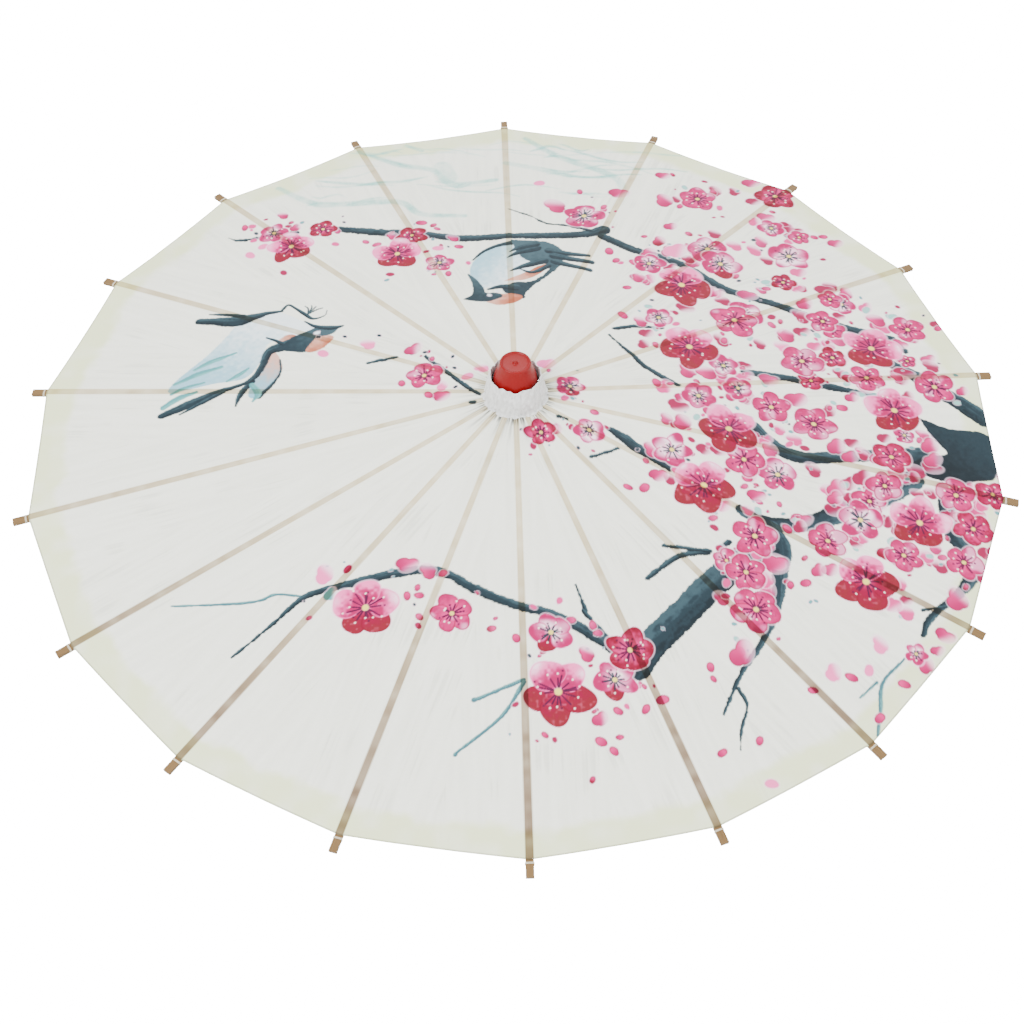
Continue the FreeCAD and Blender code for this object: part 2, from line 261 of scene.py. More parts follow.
# Pigments, as strong as they are where the paper is thick with them.
TONES = {
    "red": (112, 10, 34),
    "brick": (120, 32, 42),
    "pink": (162, 22, 84),
    "crimson": (132, 8, 52),
    "rose": (206, 52, 120),
    "pale": (240, 112, 170),
    "white": (250, 214, 230),
    "slate": (31, 45, 52),
    "slate_light": (56, 78, 86),
    "slate_dark": (19, 27, 32),
    "teal": (76, 138, 142),
    "twig": (58, 98, 108),
    "wash": (128, 186, 178),
    "stamen": (66, 22, 50),
    "anther": (250, 240, 225),
    "heart": (226, 208, 96),
    "wing": (122, 172, 194),
    "breast": (222, 232, 238),
    "feather": (30, 42, 51),
    "throat": (164, 88, 62),
    "blush": (204, 156, 140),
}


def tone(name):
    return np.array(TONES[name], float)


def mixed(first, second, share):
    share = np.asarray(share)[..., None]
    return first + (second - first) * share


def blossom(plan, x, y, size, tint, dice, reds=0):
    """Five round petals about a heart, with a fan of dark stamens and a pale line round the whole.

    A petal is an ellipse whose centre is 0.53 of the size out, with a gently lobed edge. Petals of
    a pale flower are white within. A red petal is dark all over, and the others change outwards.
    """
    reach = 1.15 * size + 2
    spot = plan.near(x - reach, x + reach, y - reach, y + reach)
    across = plan.x[spot] - x
    away = plan.y[spot] - y
    turn = dice.uniform(0, 2 * math.pi)
    if reds:
        turn = -math.pi / 2 - (reds - 1) * math.pi / 5 + dice.uniform(-0.4, 0.4)
    grain = mottle(plan.x[spot], plan.y[spot], 2.4, 11) - 0.5
    cloud = mottle(plan.x[spot], plan.y[spot], 9, 12) - 0.5
    depths = []
    for number in range(5):
        bearing = turn + number * 2 * math.pi / 5 + dice.uniform(-0.1, 0.1)
        out, side = turned(across, away, -bearing)
        far = (out - 0.53 * size) / (dice.uniform(0.38, 0.52) * size)
        wide = side / (dice.uniform(0.36, 0.50) * size)
        lobe = 1 + 0.06 * np.sin(3 * np.arctan2(wide, far) + dice.uniform(0, 6)) + 0.08 * cloud
        depths.append(((lobe - np.hypot(far, wide)) * 0.44 * size, out))
    around = np.max([depth for depth, _ in depths], axis=0)
    plan.lay(spot, 0.7 * ease(-1.9, -0.5, around), tone("white"))
    for number, (depth, out) in enumerate(depths):
        level = ease(0.1, 0.95, out / size + 0.5 * grain + 0.3 * cloud)
        if number < reds:
            shade = mixed(tone("crimson"), tone("brick"), level)
            rim = tone("red")
        elif tint == "pale":
            fade = ease(0.3, 1.0, out / size + 0.7 * cloud + 0.08 * number)
            shade = mixed(tone("white"), tone("pink"), fade)
            rim = mixed(tone("rose"), tone("pink"), 0.8)
        elif tint == "pink":
            shade = mixed(tone("rose"), tone("pink"), level)
            shade = mixed(shade, tone("white"), 0.6 * ease(0.05, 0.45, cloud))
            rim = tone("crimson")
            if reds > 0:
                shade = mixed(tone("pink"), tone("pale"), ease(0.35, 0.8, out / size + 0.3 * grain))
                shade = mixed(shade, tone("white"), ease(0.7, 1.15, out / size + 0.6 * cloud))
                rim = tone("pale")
        else:
            shade = mixed(tone("rose"), tone(tint), level)
            rim = tone("red")
        shade = mixed(shade, rim, 0.75 * (1 - ease(0.3, 1.6, depth)))
        shade = mixed(shade, tone("pale"), 0.30 * ease(0.12, 0.5, grain))
        plan.lay(spot, ease(-EDGE, EDGE, depth), shade)
    heart = np.hypot(across, away)
    glow = 0.5 * (1 - ease(0.1 * size, 0.34 * size, heart))
    plan.lay(spot, glow, tone("white" if tint == "pale" else "rose"))
    stamens = 15 if size > 18 else 11 if size > 12 else 7
    thread = tone("slate" if tint == "pale" else "stamen")
    for number in range(stamens):
        bearing = number * 2 * math.pi / stamens + dice.uniform(-0.2, 0.2)
        tip = size * dice.uniform(0.32, 0.60)
        out, side = turned(across, away, -bearing)
        side = np.abs(side)
        along = ease(0.08 * size, 0.14 * size, out) * (1 - ease(tip - 1, tip, out))
        plan.lay(spot, 0.95 * along * (1 - ease(0.35, 0.95, side)), thread)
        gap = np.hypot(out - tip - dice.uniform(0, 0.12) * size, side)
        plan.lay(spot, 0.9 * (1 - ease(0.5, 1.2, gap)), tone("anther" if number % 3 else "stamen"))
    plan.lay(spot, 1 - ease(0.07 * size, 0.11 * size + 0.5, heart), tone("heart"))


def petal(plan, x, y, size, tint, dice, strength=1.0):
    """A loose petal or bud: a turned ellipse, paler on one side, with a darker edge.

    A larger one has a second lobe beside the first, and thins out to one side.
    """
    spot = plan.near(x - 1.3 * size, x + 1.3 * size, y - 1.3 * size, y + 1.3 * size)
    bearing = dice.uniform(0, math.pi)
    out, side = turned(plan.x[spot] - x, plan.y[spot] - y, -bearing)
    swell = 1 + 0.25 * (mottle(plan.x[spot] + 7 * x, plan.y[spot], 1.1 * size, 13) - 0.5) + 0.15 * out / size
    depth = (swell - np.hypot(out / (1.05 * size), side / (0.75 * size))) * 0.85 * size
    if size > 5:
        twin = np.hypot((out + 0.3 * size) / (0.7 * size), (side - 0.45 * size) / (0.6 * size))
        depth = np.maximum(0.85 * depth - 0.1 * size, (swell - twin) * 0.6 * size)
        strength = strength * (0.15 + 0.85 * ease(-0.5, 0.35, (side - 0.4 * out) / size + swell - 0.9))
    warm = tint in ("pink", "red")
    shade = mixed(tone(tint), tone("rose" if warm else tint), ease(-0.9, 0.9, out / size))
    shade = mixed(shade, 0.94 * tone("red" if warm else tint), 0.6 * (1 - ease(0.2, 1.2, depth)))
    plan.lay(spot, 0.6 * ease(-1.5, -0.4, depth), tone("white"))
    plan.lay(spot, strength * ease(-EDGE, EDGE, depth), shade)


def share_along(x, y, start, run):
    """How far along a straight run the place nearest to each point lies, from 0 to 1."""
    squared = max(float(run @ run), 1e-9)
    return np.clip(((x - start[0]) * run[0] + (y - start[1]) * run[1]) / squared, 0, 1)


def stroke_depth(plan, line):
    """How deep each nearby point lies in a tapered stroke, and on which side of its middle.

    The depth is the half width at the nearest place of the line less the distance to it.
    """
    margin = line[:, 2].max() + 3
    low = line[:, :2].min(axis=0) - margin
    high = line[:, :2].max(axis=0) + margin
    spot = plan.near(low[0], high[0], low[1], high[1])
    x = plan.x[spot]
    y = plan.y[spot]
    depth = np.full(len(spot), OUTSIDE)
    lean = np.zeros(len(spot))
    for start, end in zip(line[:-1], line[1:]):
        room = max(start[2], end[2]) / 2 + 3
        box = (x > min(start[0], end[0]) - room) & (x < max(start[0], end[0]) + room)
        box &= (y > min(start[1], end[1]) - room) & (y < max(start[1], end[1]) + room)
        here = np.flatnonzero(box)
        run = end[:2] - start[:2]
        share = share_along(x[here], y[here], start, run)
        off_x = x[here] - start[0] - share * run[0]
        off_y = y[here] - start[1] - share * run[1]
        half = (start[2] + (end[2] - start[2]) * share) / 2
        inside = half - np.hypot(off_x, off_y)
        better = inside > depth[here]
        depth[here[better]] = inside[better]
        side = (off_y * run[0] - off_x * run[1]) / (max(math.hypot(*run), 1e-4) * np.maximum(half, 0.3))
        lean[here[better]] = side[better]
    return spot, depth, lean


def branch(plan, points, body="slate", rough=1.6):
    """A brushed branch through points of x, y and width, streaked along it, with a dry edge."""
    spot, depth, lean = stroke_depth(plan, smooth_line(points))
    x = plan.x[spot]
    y = plan.y[spot]
    knots = mottle(x, y, 5.5, 21) - 0.5
    dry = mottle(x, y, 1.7, 22) - 0.5
    streak = mottle(5 * lean, 0.07 * (x + y), 1, 23) - 0.5
    depth = depth + 0.7 * rough * knots + 0.6 * rough * dry
    light = ease(-0.2, 0.9, lean + 0.5 * knots + 0.5 * dry + 1.3 * streak)
    dark = ease(0.1, 0.9, -lean + 0.7 * dry + 1.1 * streak)
    if body == "slate":
        shade = mixed(tone("slate"), tone("slate_light"), 0.75 * light)
        shade = mixed(shade, tone("slate_dark"), 0.7 * dark)
    else:
        shade = mixed(tone(body), tone("wash"), 0.5 * light)
    plan.lay(spot, ease(-EDGE, EDGE, depth), shade)


def wash(plan, points, strength, body="wash"):
    """A faint wet stroke whose strength comes and goes along it."""
    spot, depth, _ = stroke_depth(plan, smooth_line(points))
    patchy = 0.5 + mottle(plan.x[spot], plan.y[spot], 9, 31)
    fine = 0.7 + 0.6 * mottle(plan.x[spot], plan.y[spot], 1.6, 32)
    plan.lay(spot, strength * patchy * fine * ease(-1.2, 2.2, depth), tone(body))


def patch(plan, points, first, second, bearing=0.0, strength=1.0, rough=0.5):
    """A filled shape with a smooth outline, shaded from one tone to another along a bearing.

    A point is inside when a line out from it crosses the outline an odd number of times.
    """
    line = smooth_line(list(points) + [points[0]], 6)[:-1]
    low = line.min(axis=0) - 2
    high = line.max(axis=0) + 2
    spot = plan.near(low[0], high[0], low[1], high[1])
    x = plan.x[spot]
    y = plan.y[spot]
    inside = np.zeros(len(spot), bool)
    gap = np.full(len(spot), -OUTSIDE)
    for start, end in zip(line, np.roll(line, -1, axis=0)):
        run = end - start
        crossing = (start[1] > y) != (end[1] > y)
        reach = start[0] + (y - start[1]) * run[0] / (run[1] if abs(run[1]) > 1e-9 else 1e-9)
        inside ^= crossing & (x < reach)
        share = share_along(x, y, start, run)
        gap = np.minimum(gap, np.hypot(x - start[0] - share * run[0], y - start[1] - share * run[1]))
    depth = np.where(inside, gap, -gap) + rough * (mottle(x, y, 2.2, 41) - 0.5)
    middle = (low + high) / 2
    spread = (high - low).max() / 2
    fall, _ = turned(x - middle[0], y - middle[1], -bearing)
    grain = 0.5 * (mottle(x, y, 3, 42) - 0.5)
    shade = mixed(tone(first), tone(second), ease(-0.8, 0.8, fall / spread + grain))
    plan.lay(spot, strength * ease(-EDGE, EDGE, depth), shade)


# Blossoms: x, y, size, tint, and how many petals are red. All the print's places are in millimetres.
BLOSSOMS = (
    (-198, 232, 22, "pink", 2), (-101, 209, 23, "pink", 2), (152, 160, 28, "pink", 3),
    (152, 75, 27, "pink", 3), (315, 95, 27, "pink", 2), (325, 20, 26, "pink", 2),
    (178, -20, 27, "pink", 3), (152, -83, 27, "pink", 3), (330, -103, 27, "pink", 2),
    (277, -168, 28, "pink", 3), (26, -275, 30, "pink", 3), (-123, -195, 27, "pink", 2),
    (-215, 255, 15, "pale", 0), (-170, 257, 14, "red", 0), (-88, 235, 15, "red", 0),
    (-63, 190, 14, "pale", 0), (70, 262, 20, "pale", 0), (178, 297, 19, "pink", 0),
    (252, 305, 20, "red", 0), (243, 255, 13, "pale", 0), (268, 245, 11, "pink", 0),
    (255, 215, 20, "pale", 0), (245, 175, 13, "red", 0), (180, 215, 20, "pale", 0),
    (190, 195, 20, "pale", 1), (125, 190, 16, "pale", 0), (285, 155, 12, "pink", 0),
    (295, 150, 14, "pale", 0), (352, 125, 18, "pink", 0), (275, 125, 15, "pink", 0),
    (205, 125, 18, "pale", 0), (128, 112, 14, "pale", 0), (195, 115, 22, "pink", 0),
    (250, 70, 20, "pink", 0), (283, 115, 12, "pink", 0), (278, 78, 14, "red", 0),
    (345, 82, 9, "pink", 0), (305, 55, 17, "pink", 0), (365, 52, 20, "pink", 0),
    (180, 55, 14, "pale", 0), (190, 28, 13, "pale", 0), (155, 15, 16, "pale", 0),
    (217, 10, 18, "pink", 0), (252, -5, 20, "pink", 0), (255, 45, 12, "crimson", 0),
    (128, -48, 18, "pale", 0), (188, -52, 18, "pink", 0), (215, -65, 18, "pale", 0),
    (290, -85, 15, "pink", 0), (315, -35, 18, "crimson", 0), (305, -68, 16, "pink", 0),
    (330, -8, 10, "pale", 0), (365, -72, 18, "pink", 0), (397, -68, 16, "crimson", 0),
    (280, -105, 20, "pale", 0), (190, -130, 20, "pink", 0), (250, -130, 18, "pink", 0),
    (312, -138, 17, "pink", 0), (375, -105, 18, "crimson", 0), (362, -140, 18, "pink", 0),
    (165, -155, 12, "pink", 0), (180, -165, 18, "pink", 0), (185, -200, 22, "pink", 0),
    (22, -224, 18, "pale", 1), (83, -240, 20, "red", 0), (70, -265, 18, "pale", 1),
    (310, -232, 10, "pale", 0), (-55, -205, 18, "pink", 0), (-76, 33, 17, "pink", 0),
    (46, 12, 13, "pale", 1), (60, -35, 14, "pale", 0), (20, -40, 14, "crimson", 0),
    (350, 122, 12, "crimson", 0),
)

# Loose petals and buds: x, y, size and tint.
PETALS = (
    (-208, 284, 6, "pink"), (-243, 268, 4, "pink"), (-225, 237, 5, "pale"), (-235, 226, 5, "pale"),
    (-195, 262, 6, "pink"), (-105, 237, 6, "pink"), (-65, 213, 5, "pale"), (-50, 230, 6, "pink"),
    (-45, 215, 4, "pink"), (-80, 255, 5, "pink"), (-55, 172, 4, "pink"), (105, 298, 10, "pink"),
    (68, 302, 4, "pink"), (30, 317, 5, "pale"), (45, 280, 12, "pink"), (148, 332, 7, "pink"),
    (158, 335, 3, "red"), (148, 292, 10, "pink"), (160, 283, 4, "pink"), (232, 326, 9, "pink"),
    (283, 247, 4, "pink"), (290, 249, 4, "pink"), (302, 239, 8, "pink"), (152, 210, 12, "pale"),
    (138, 226, 8, "red"), (150, 250, 7, "pink"), (123, 232, 3, "pink"), (127, 205, 9, "pink"),
    (112, 190, 5, "pink"), (115, 168, 7, "pink"), (90, 205, 5, "pink"), (95, 192, 4, "pink"),
    (102, 152, 4, "pink"), (180, 153, 7, "pink"), (302, 165, 8, "pink"), (262, 145, 8, "pink"),
    (325, 135, 9, "pink"), (380, 130, 4, "pink"), (112, 105, 7, "pink"), (97, 110, 5, "pink"),
    (240, 103, 9, "pink"), (235, 88, 8, "pale"), (290, 52, 7, "red"), (333, 60, 6, "pink"),
    (390, 50, 6, "pink"), (150, 45, 10, "pink"), (165, 45, 9, "pink"), (185, 20, 7, "pink"),
    (120, 25, 5, "pink"), (140, 10, 6, "pink"), (165, 2, 8, "pink"), (240, 20, 10, "pink"),
    (290, 30, 7, "pink"), (268, 15, 3, "pink"), (280, 17, 5, "pink"), (140, -17, 9, "pink"),
    (112, -50, 8, "pink"), (115, -77, 8, "pink"), (102, -90, 5, "pink"), (90, -90, 4, "pink"),
    (195, -90, 8, "pink"), (190, -72, 4, "pink"), (270, -30, 10, "pink"), (280, -40, 8, "pink"),
    (265, -75, 10, "pink"), (262, -85, 8, "pink"), (352, -18, 9, "pink"), (352, -35, 9, "pink"),
    (218, -122, 5, "pink"), (298, -138, 8, "red"), (205, -158, 11, "pink"), (240, -160, 7, "pink"),
    (227, -172, 5, "pink"), (215, -175, 4, "pink"), (172, -240, 12, "pink"), (50, -242, 7, "pink"),
    (105, -283, 5, "pink"), (58, -298, 7, "pink"), (72, -292, 4, "pink"), (92, -291, 4, "pink"),
    (58, -317, 5, "pink"), (67, -325, 4, "pink"), (71, -313, 3, "pink"), (49, -348, 3, "red"),
    (15, -312, 3, "pink"), (145, -253, 4, "pink"), (147, -263, 3, "pink"), (224, -271, 4, "pink"),
    (283, -225, 8, "pale"), (243, -254, 8, "pale"), (256, -257, 5, "pink"), (270, -250, 5, "pale"),
    (335, -215, 8, "pink"), (328, -229, 6, "pink"), (318, -242, 8, "pink"), (298, -260, 5, "pink"),
    (352, -178, 12, "pink"), (273, -293, 5, "pink"), (185, -350, 5, "pale"), (178, -315, 4, "pink"),
    (148, -326, 4, "pink"), (-95, 26, 4, "pink"), (-85, 68, 8, "pink"), (-62, 5, 7, "pink"),
    (-72, 8, 4, "pink"), (-60, 18, 6, "pale"), (-27, 35, 6, "pale"), (-40, 25, 5, "pale"),
    (-124, 82, 7, "pale"), (-163, 76, 5, "pale"), (28, 38, 8, "pale"), (33, -37, 6, "pink"),
    (-155, -162, 9, "pale"), (-138, -160, 4, "crimson"), (-90, -160, 9, "pink"), (-73, -165, 8, "pink"),
    (-62, -170, 4, "pink"), (-90, -188, 4, "pink"), (-82, -181, 3, "pink"), (-80, -188, 4, "pink"),
    (-5, -230, 4, "pink"), (-150, -182, 6, "teal"), (-75, 63, 2, "slate"), (-52, 53, 2, "slate"),
    (-50, 38, 2, "slate"), (-50, 14, 2, "slate"), (-115, 92, 2, "slate"), (-145, 95, 2, "slate"),
)

# Branches: points of x, y and width.
BRANCHES = (
    ((-258, 257, 1.5), (-248, 251, 3), (-230, 251, 4), (-195, 254, 7)),
    ((-155, 255, 9), (-130, 248, 10), (-100, 240, 11), (-70, 234, 10), (-40, 228, 10), (0, 228, 9),
     (30, 230, 10), (70, 232, 11), (86, 238, 14)),
    ((85, 228, 9), (110, 212, 10), (140, 198, 10), (160, 185, 10), (190, 160, 9), (225, 145, 9),
     (262, 130, 8), (300, 118, 9), (335, 110, 9)),
    ((335, 110, 8), (345, 95, 6)),
    ((325, 80, 9), (345, 66, 13), (365, 50, 15), (388, 34, 17), (404, 20, 18)),
    ((200, -15, 11), (215, -35, 13), (235, -45, 13), (265, -42, 13), (300, -35, 14), (345, -30, 20)),
    ((330, -60, 20), (290, -85, 22), (262, -100, 19), (240, -112, 17), (205, -118, 14), (180, -105, 9)),
    ((205, -120, 11), (212, -140, 14), (207, -165, 13), (203, -190, 9), (190, -225, 6), (170, -255, 4),
     (160, -275, 3), (152, -293, 1.5)),
    ((165, -270, 3), (171, -285, 2.5), (165, -305, 2), (163, -322, 1.2)),
    ((88, -255, 22), (100, -235, 24), (132, -200, 24), (165, -165, 24), (175, -155, 22), (200, -140, 18)),
    ((355, -80, 14), (357, -110, 16), (364, -125, 16), (368, -150, 13), (355, -170, 9), (345, -180, 7),
     (325, -200, 6), (318, -215, 4)),
    ((320, -192, 3), (340, -187, 2)),
    ((88, 92, 4), (105, 97, 4), (130, 98, 4)),
    ((197, 50, 7), (210, 48, 8), (240, 45, 9), (270, 40, 8), (300, 36, 6)),
    ((83, 83, 2), (100, 60, 4), (115, 42, 5), (138, 25, 5)),
    ((78, -32, 6), (88, -40, 10), (100, -50, 10), (115, -60, 10), (125, -68, 8)),
    ((60, -62, 2), (83, -52, 2.5)),
    ((35, -23, 3), (42, -25, 3)),
    ((100, -175, 4), (125, -155, 5), (150, -148, 6)),
    ((115, -145, 3), (153, -147, 4)),
    ((160, -145, 5), (168, -137, 5)),
    ((43, -182, 2), (50, -205, 3)),
    ((48, -205, 3), (65, -228, 4)),
    ((-227, -230, 2), (-200, -207, 3), (-172, -182, 5), (-140, -174, 7), (-100, -166, 8), (-75, -165, 8),
     (-55, -172, 8), (-40, -182, 8), (-5, -200, 8), (20, -207, 8), (45, -220, 9), (70, -238, 10),
     (88, -255, 12)),
    ((-125, 57, 3), (-100, 60, 4)),
    ((-75, 58, 3), (-68, 48, 4), (-50, 25, 4), (-38, 10, 4), (-30, 2, 3)),
    ((-38, -6, 4), (-34, -6, 4)),
    ((0, 272, 1.5), (20, 262, 2), (35, 250, 2.5), (52, 247, 3), (75, 238, 4)),
)

# Thin blue-green twigs: points of x, y and width.
TWIGS = (
    ((290, 38, 4), (320, 33, 7), (345, 28, 4)),
    ((-39, -280, 4.5), (-33, -278, 3), (0, -265, 3.4)),
    ((-278, -178, 1.5), (-215, -181, 2.5), (-195, -176, 2.5), (-175, -180, 2)),
    ((-54, -325, 3.4), (-50, -321, 2.4), (-18, -295, 3), (0, -267, 3.4)),
    ((300, -237, 2), (280, -260, 3), (275, -285, 3), (270, -308, 2)),
    ((275, -260, 2.5), (260, -275, 1.5)),
)

# Faint wet strokes: strength, then points of x, y and width.
WASHES = (
    (0.5, ((-140, 380, 6), (-100, 355, 9), (-70, 345, 8), (-50, 320, 8), (-10, 322, 6))),
    (0.5, ((-215, 330, 6), (-180, 300, 9), (-150, 295, 9), (-100, 290, 9), (-80, 270, 8),
           (-40, 265, 6))),
    (0.35, ((-60, 350, 18), (-55, 330, 20))),
    (0.45, ((-95, 390, 5), (-80, 380, 6))),
    (0.45, ((20, 395, 6), (50, 365, 9), (100, 330, 9), (110, 300, 7))),
    (0.4, ((0, 350, 7), (30, 342, 8), (60, 330, 7))),
)


def flying_bird(plan):
    """A swallow on the wing: dark streaming tail, pale breast, two swept wings and orange throat."""
    breast = ((-240, 135), (-208, 140), (-180, 120), (-172, 108), (-195, 102), (-212, 98), (-218, 78),
              (-230, 58), (-258, 55), (-295, 50), (-290, 66), (-264, 95), (-244, 124))
    patch(plan, breast, "wing", "breast", 0.9, 0.85)
    feathers = (
        ((-252, 76, 3), (-272, 70, 6), (-292, 60, 3)),
        ((-266, 58, 2), (-282, 54, 4), (-294, 48, 3)),
        ((-272, 47, 3), (-288, 42, 6), (-300, 34, 5)),
        ((-228, 70, 2), (-236, 63, 5), (-246, 56, 2)),
        ((-240, 92, 2), (-262, 84, 5), (-276, 76, 2)),
    )
    for feather in feathers:
        branch(plan, feather, "teal", 0.8)
    far_wing = ((-206, 88), (-200, 74), (-199, 60), (-207, 46), (-216, 32), (-226, 34), (-224, 52),
                (-219, 72))
    patch(plan, far_wing, "wing", "blush", 1.3, 0.95)
    branch(plan, ((-237, 25, 1.5), (-233, 38, 6), (-224, 52, 6)), rough=0.8)
    branch(plan, ((-217, 32, 5), (-207, 44, 3.5), (-200, 60, 2), (-201, 76, 1.5)), rough=0.6)
    branch(plan, ((-224, 48, 5), (-218, 36, 6), (-222, 28, 2)), "teal", 0.8)
    patch(plan, ((-206, 98), (-196, 106), (-186, 102), (-194, 97)), "blush", "throat", 0.5, 0.9)
    tail_and_back = ((-301, 25, 7), (-275, 35, 9), (-252, 44, 6), (-232, 50, 4.5), (-222, 58, 6),
                     (-216, 72, 7), (-211, 88, 9), (-200, 92, 12), (-186, 95, 15), (-174, 96, 15))
    branch(plan, tail_and_back, rough=0.9)
    branch(plan, ((-285, 24, 1.5), (-268, 33, 4), (-248, 43, 4)), rough=0.6)
    head = ((-192, 102), (-178, 108), (-168, 113), (-152, 111), (-155, 102), (-166, 96), (-176, 82),
            (-190, 84), (-202, 90))
    patch(plan, head, "slate", "slate_light", 0.6)
    beak = ((-181, 122, 1.5), (-172, 114, 4), (-160, 110, 6), (-151, 110, 4), (-147, 111, 1.5))
    branch(plan, beak, rough=0.4)
    branch(plan, ((-214, 106, 1.5), (-206, 101, 3), (-200, 96, 4)), rough=0.4)
    throat = ((-170, 98), (-158, 99), (-155, 94), (-163, 84), (-174, 80), (-179, 84))
    patch(plan, throat, "throat", "blush", 2.0)
    petal(plan, -170, 104, 2.6, "breast", np.random.default_rng(3))
    petal(plan, -168, 98, 2.2, "feather", np.random.default_rng(4))
    near_wing = ((-276, 139, 7), (-262, 136, 9), (-242, 132, 13), (-228, 135, 10), (-214, 139, 5),
                 (-202, 140, 3))
    branch(plan, near_wing, rough=0.9)
    branch(plan, ((-267, 146, 1.5), (-250, 142, 4), (-236, 138, 5)), rough=0.5)
    leg = ((-203, 140, 3), (-197, 148, 2.5), (-190, 142, 2.5), (-182, 133, 4), (-174, 125, 3),
           (-164, 128, 1.2), (-162, 135, 0.8))
    branch(plan, leg, rough=0.3)
    for x, y in ((-182, 144), (-176, 144), (-172, 142), (-166, 139)):
        claw = ((-179, 132, 1.4), ((x - 176) / 2, (y + 136) / 2, 1.4), (x, y, 0.8))
        branch(plan, claw, rough=0.2)


def perched_bird(plan):
    """A swallow at rest: pale folded wing under dark feathers, orange throat, a tail to the right."""
    breast = ((-33, 190), (-20, 208), (0, 214), (14, 204), (20, 186), (16, 166), (4, 157), (-12, 152),
              (-25, 150), (-32, 160), (-36, 175))
    patch(plan, breast, "breast", "wing", 2.6, 0.8)
    flank = ((-6, 158), (12, 160), (28, 172), (34, 184), (26, 182), (14, 172))
    patch(plan, flank, "blush", "throat", 0.6)
    branch(plan, ((-33, 193, 1.5), (-24, 205, 3.5), (-12, 213, 4.5), (2, 217, 7)), rough=0.5)
    back = ((2, 222), (34, 220), (48, 205), (46, 186), (36, 170), (22, 154), (14, 142), (10, 132),
            (0, 136), (-8, 146), (4, 156), (18, 158), (32, 172), (34, 184), (24, 186), (14, 192), (6, 204))
    patch(plan, back, "slate", "slate_light", 1.6, 1.0, 1.5)
    feathers = (
        ((0, 173, 1.5), (12, 181, 6), (30, 190, 10)),
        ((-2, 194, 1.5), (8, 202, 6), (24, 210, 10)),
        ((6, 178, 1), (20, 172, 4), (34, 182, 6)),
        ((0, 203, 1.5), (10, 210, 6), (24, 216, 8)),
        ((36, 206, 9), (52, 201, 7), (71, 197, 4)),
        ((40, 198, 9), (56, 192, 7), (73, 187, 6)),
        ((40, 189, 8), (56, 181, 6), (71, 175, 5)),
    )
    for feather in feathers:
        branch(plan, feather, rough=0.7)
    throat = ((-22, 128), (-12, 123), (0, 124), (9, 131), (8, 137), (-5, 139), (-17, 137))
    patch(plan, throat, "throat", "blush", 2.6)
    head = ((-42, 133), (-34, 141), (-34, 156), (-38, 172), (-30, 162), (-24, 149), (-22, 142),
            (-12, 141), (-8, 135), (-20, 129), (-33, 130))
    patch(plan, head, "slate", "slate_light", 1.0)
    branch(plan, ((-20, 147, 2.5), (-10, 150, 6), (4, 148, 9)), rough=0.6)
    petal(plan, -19, 138, 1.8, "breast", np.random.default_rng(5))
    petal(plan, -12, 143, 1.6, "breast", np.random.default_rng(6))


def mist(plan, dice):
    """Faint wavy lines of wet blue-green across the far side of the canopy."""
    for number in range(34):
        start = dice.uniform(-190, 90)
        level = 300 + 95 * dice.uniform(0, 1) - 0.0006 * start * start
        drift = dice.uniform(-0.35, 0.2)
        run = dice.uniform(25, 95)
        steps = np.arange(5)
        wave = dice.uniform(1, 5) * np.sin(steps * 1.3 + dice.uniform(0, 6))
        width = dice.uniform(1.2, 5) * np.array((0.4, 1, 1.1, 0.9, 0.3))
        line = np.stack([start + run * steps / 4, level + drift * run * steps / 4 + wave, width], axis=1)
        wash(plan, line, dice.uniform(0.35, 0.75))


def strewn_petals(plan, dice):
    """Small petals, buds and drops strewn round every larger blossom, most of all on the right."""
    kinds = ("pink", "pink", "red", "crimson", "crimson", "teal", "teal", "rose", "slate")
    for x, y, size, tint, _ in BLOSSOMS:
        if size < 13:
            continue
        crowded = x > 110
        for number in range(9 if crowded else 6):
            bearing = dice.uniform(0, 2 * math.pi)
            gap = size * dice.uniform(1.0, 1.9)
            kind = dice.choice(kinds)
            small = dice.uniform(1.2, 4.2) if kind not in ("teal", "slate") else dice.uniform(1.0, 2.4)
            if crowded and number < (6 if x > 230 else 3):
                kind = dice.choice(["pink", "rose", "crimson", "wash", "crimson"])
                small = dice.uniform(2.5, 4.5) if kind == "wash" else dice.uniform(5, 9)
            petal(plan, x + gap * math.cos(bearing), y + gap * math.sin(bearing), small, kind, dice, 0.9)


def tint_of_paper(plan):
    """The bare paper: pale, a little uneven, painted with light and shade of wrinkles and creases, and
    greener in a band along the rim.
    """
    cloud = mottle(plan.x, plan.y, 60, 1) + 0.5 * mottle(plan.x, plan.y, 17, 2) - 0.75
    plan.shade[:] = parts_of_255(colours().paper) + 2.4 * cloud[:, None]
    fibre = mottle(plan.x, plan.y, 1.3, 3) - 0.5
    beside = plan.lateral + 61 * plan.sector
    wrinkle_shading = mottle(beside, plan.along * 0.09, 3.4, 9) - 0.5
    # Painted light and shade: wrinkles along the ribs lighter and darker, and painted shade along the
    # creases.
    crease = mottle(beside, plan.along * 0.04, 1.5, 10) * mottle(plan.x, plan.y, 22, 16)
    plan.shade += (3 * fibre + 9 * wrinkle_shading - 14 * ease(0.42, 0.75, crease))[:, None]
    uneven = 9 * (mottle(plan.x, plan.y, 25, 4) - 0.5) + 4 * (mottle(plan.x, plan.y, 7, 8) - 0.5)
    hem = sizes().hem / MM
    band = 1 - ease(hem - 8, hem + 2, plan.rim_gap + uneven)
    everywhere = np.arange(len(plan.x))
    blotch = 0.5 + 0.8 * mottle(plan.x, plan.y, 13, 14)
    plan.lay(everywhere, np.clip(blotch * band, 0, 1), parts_of_255(colours().hem))


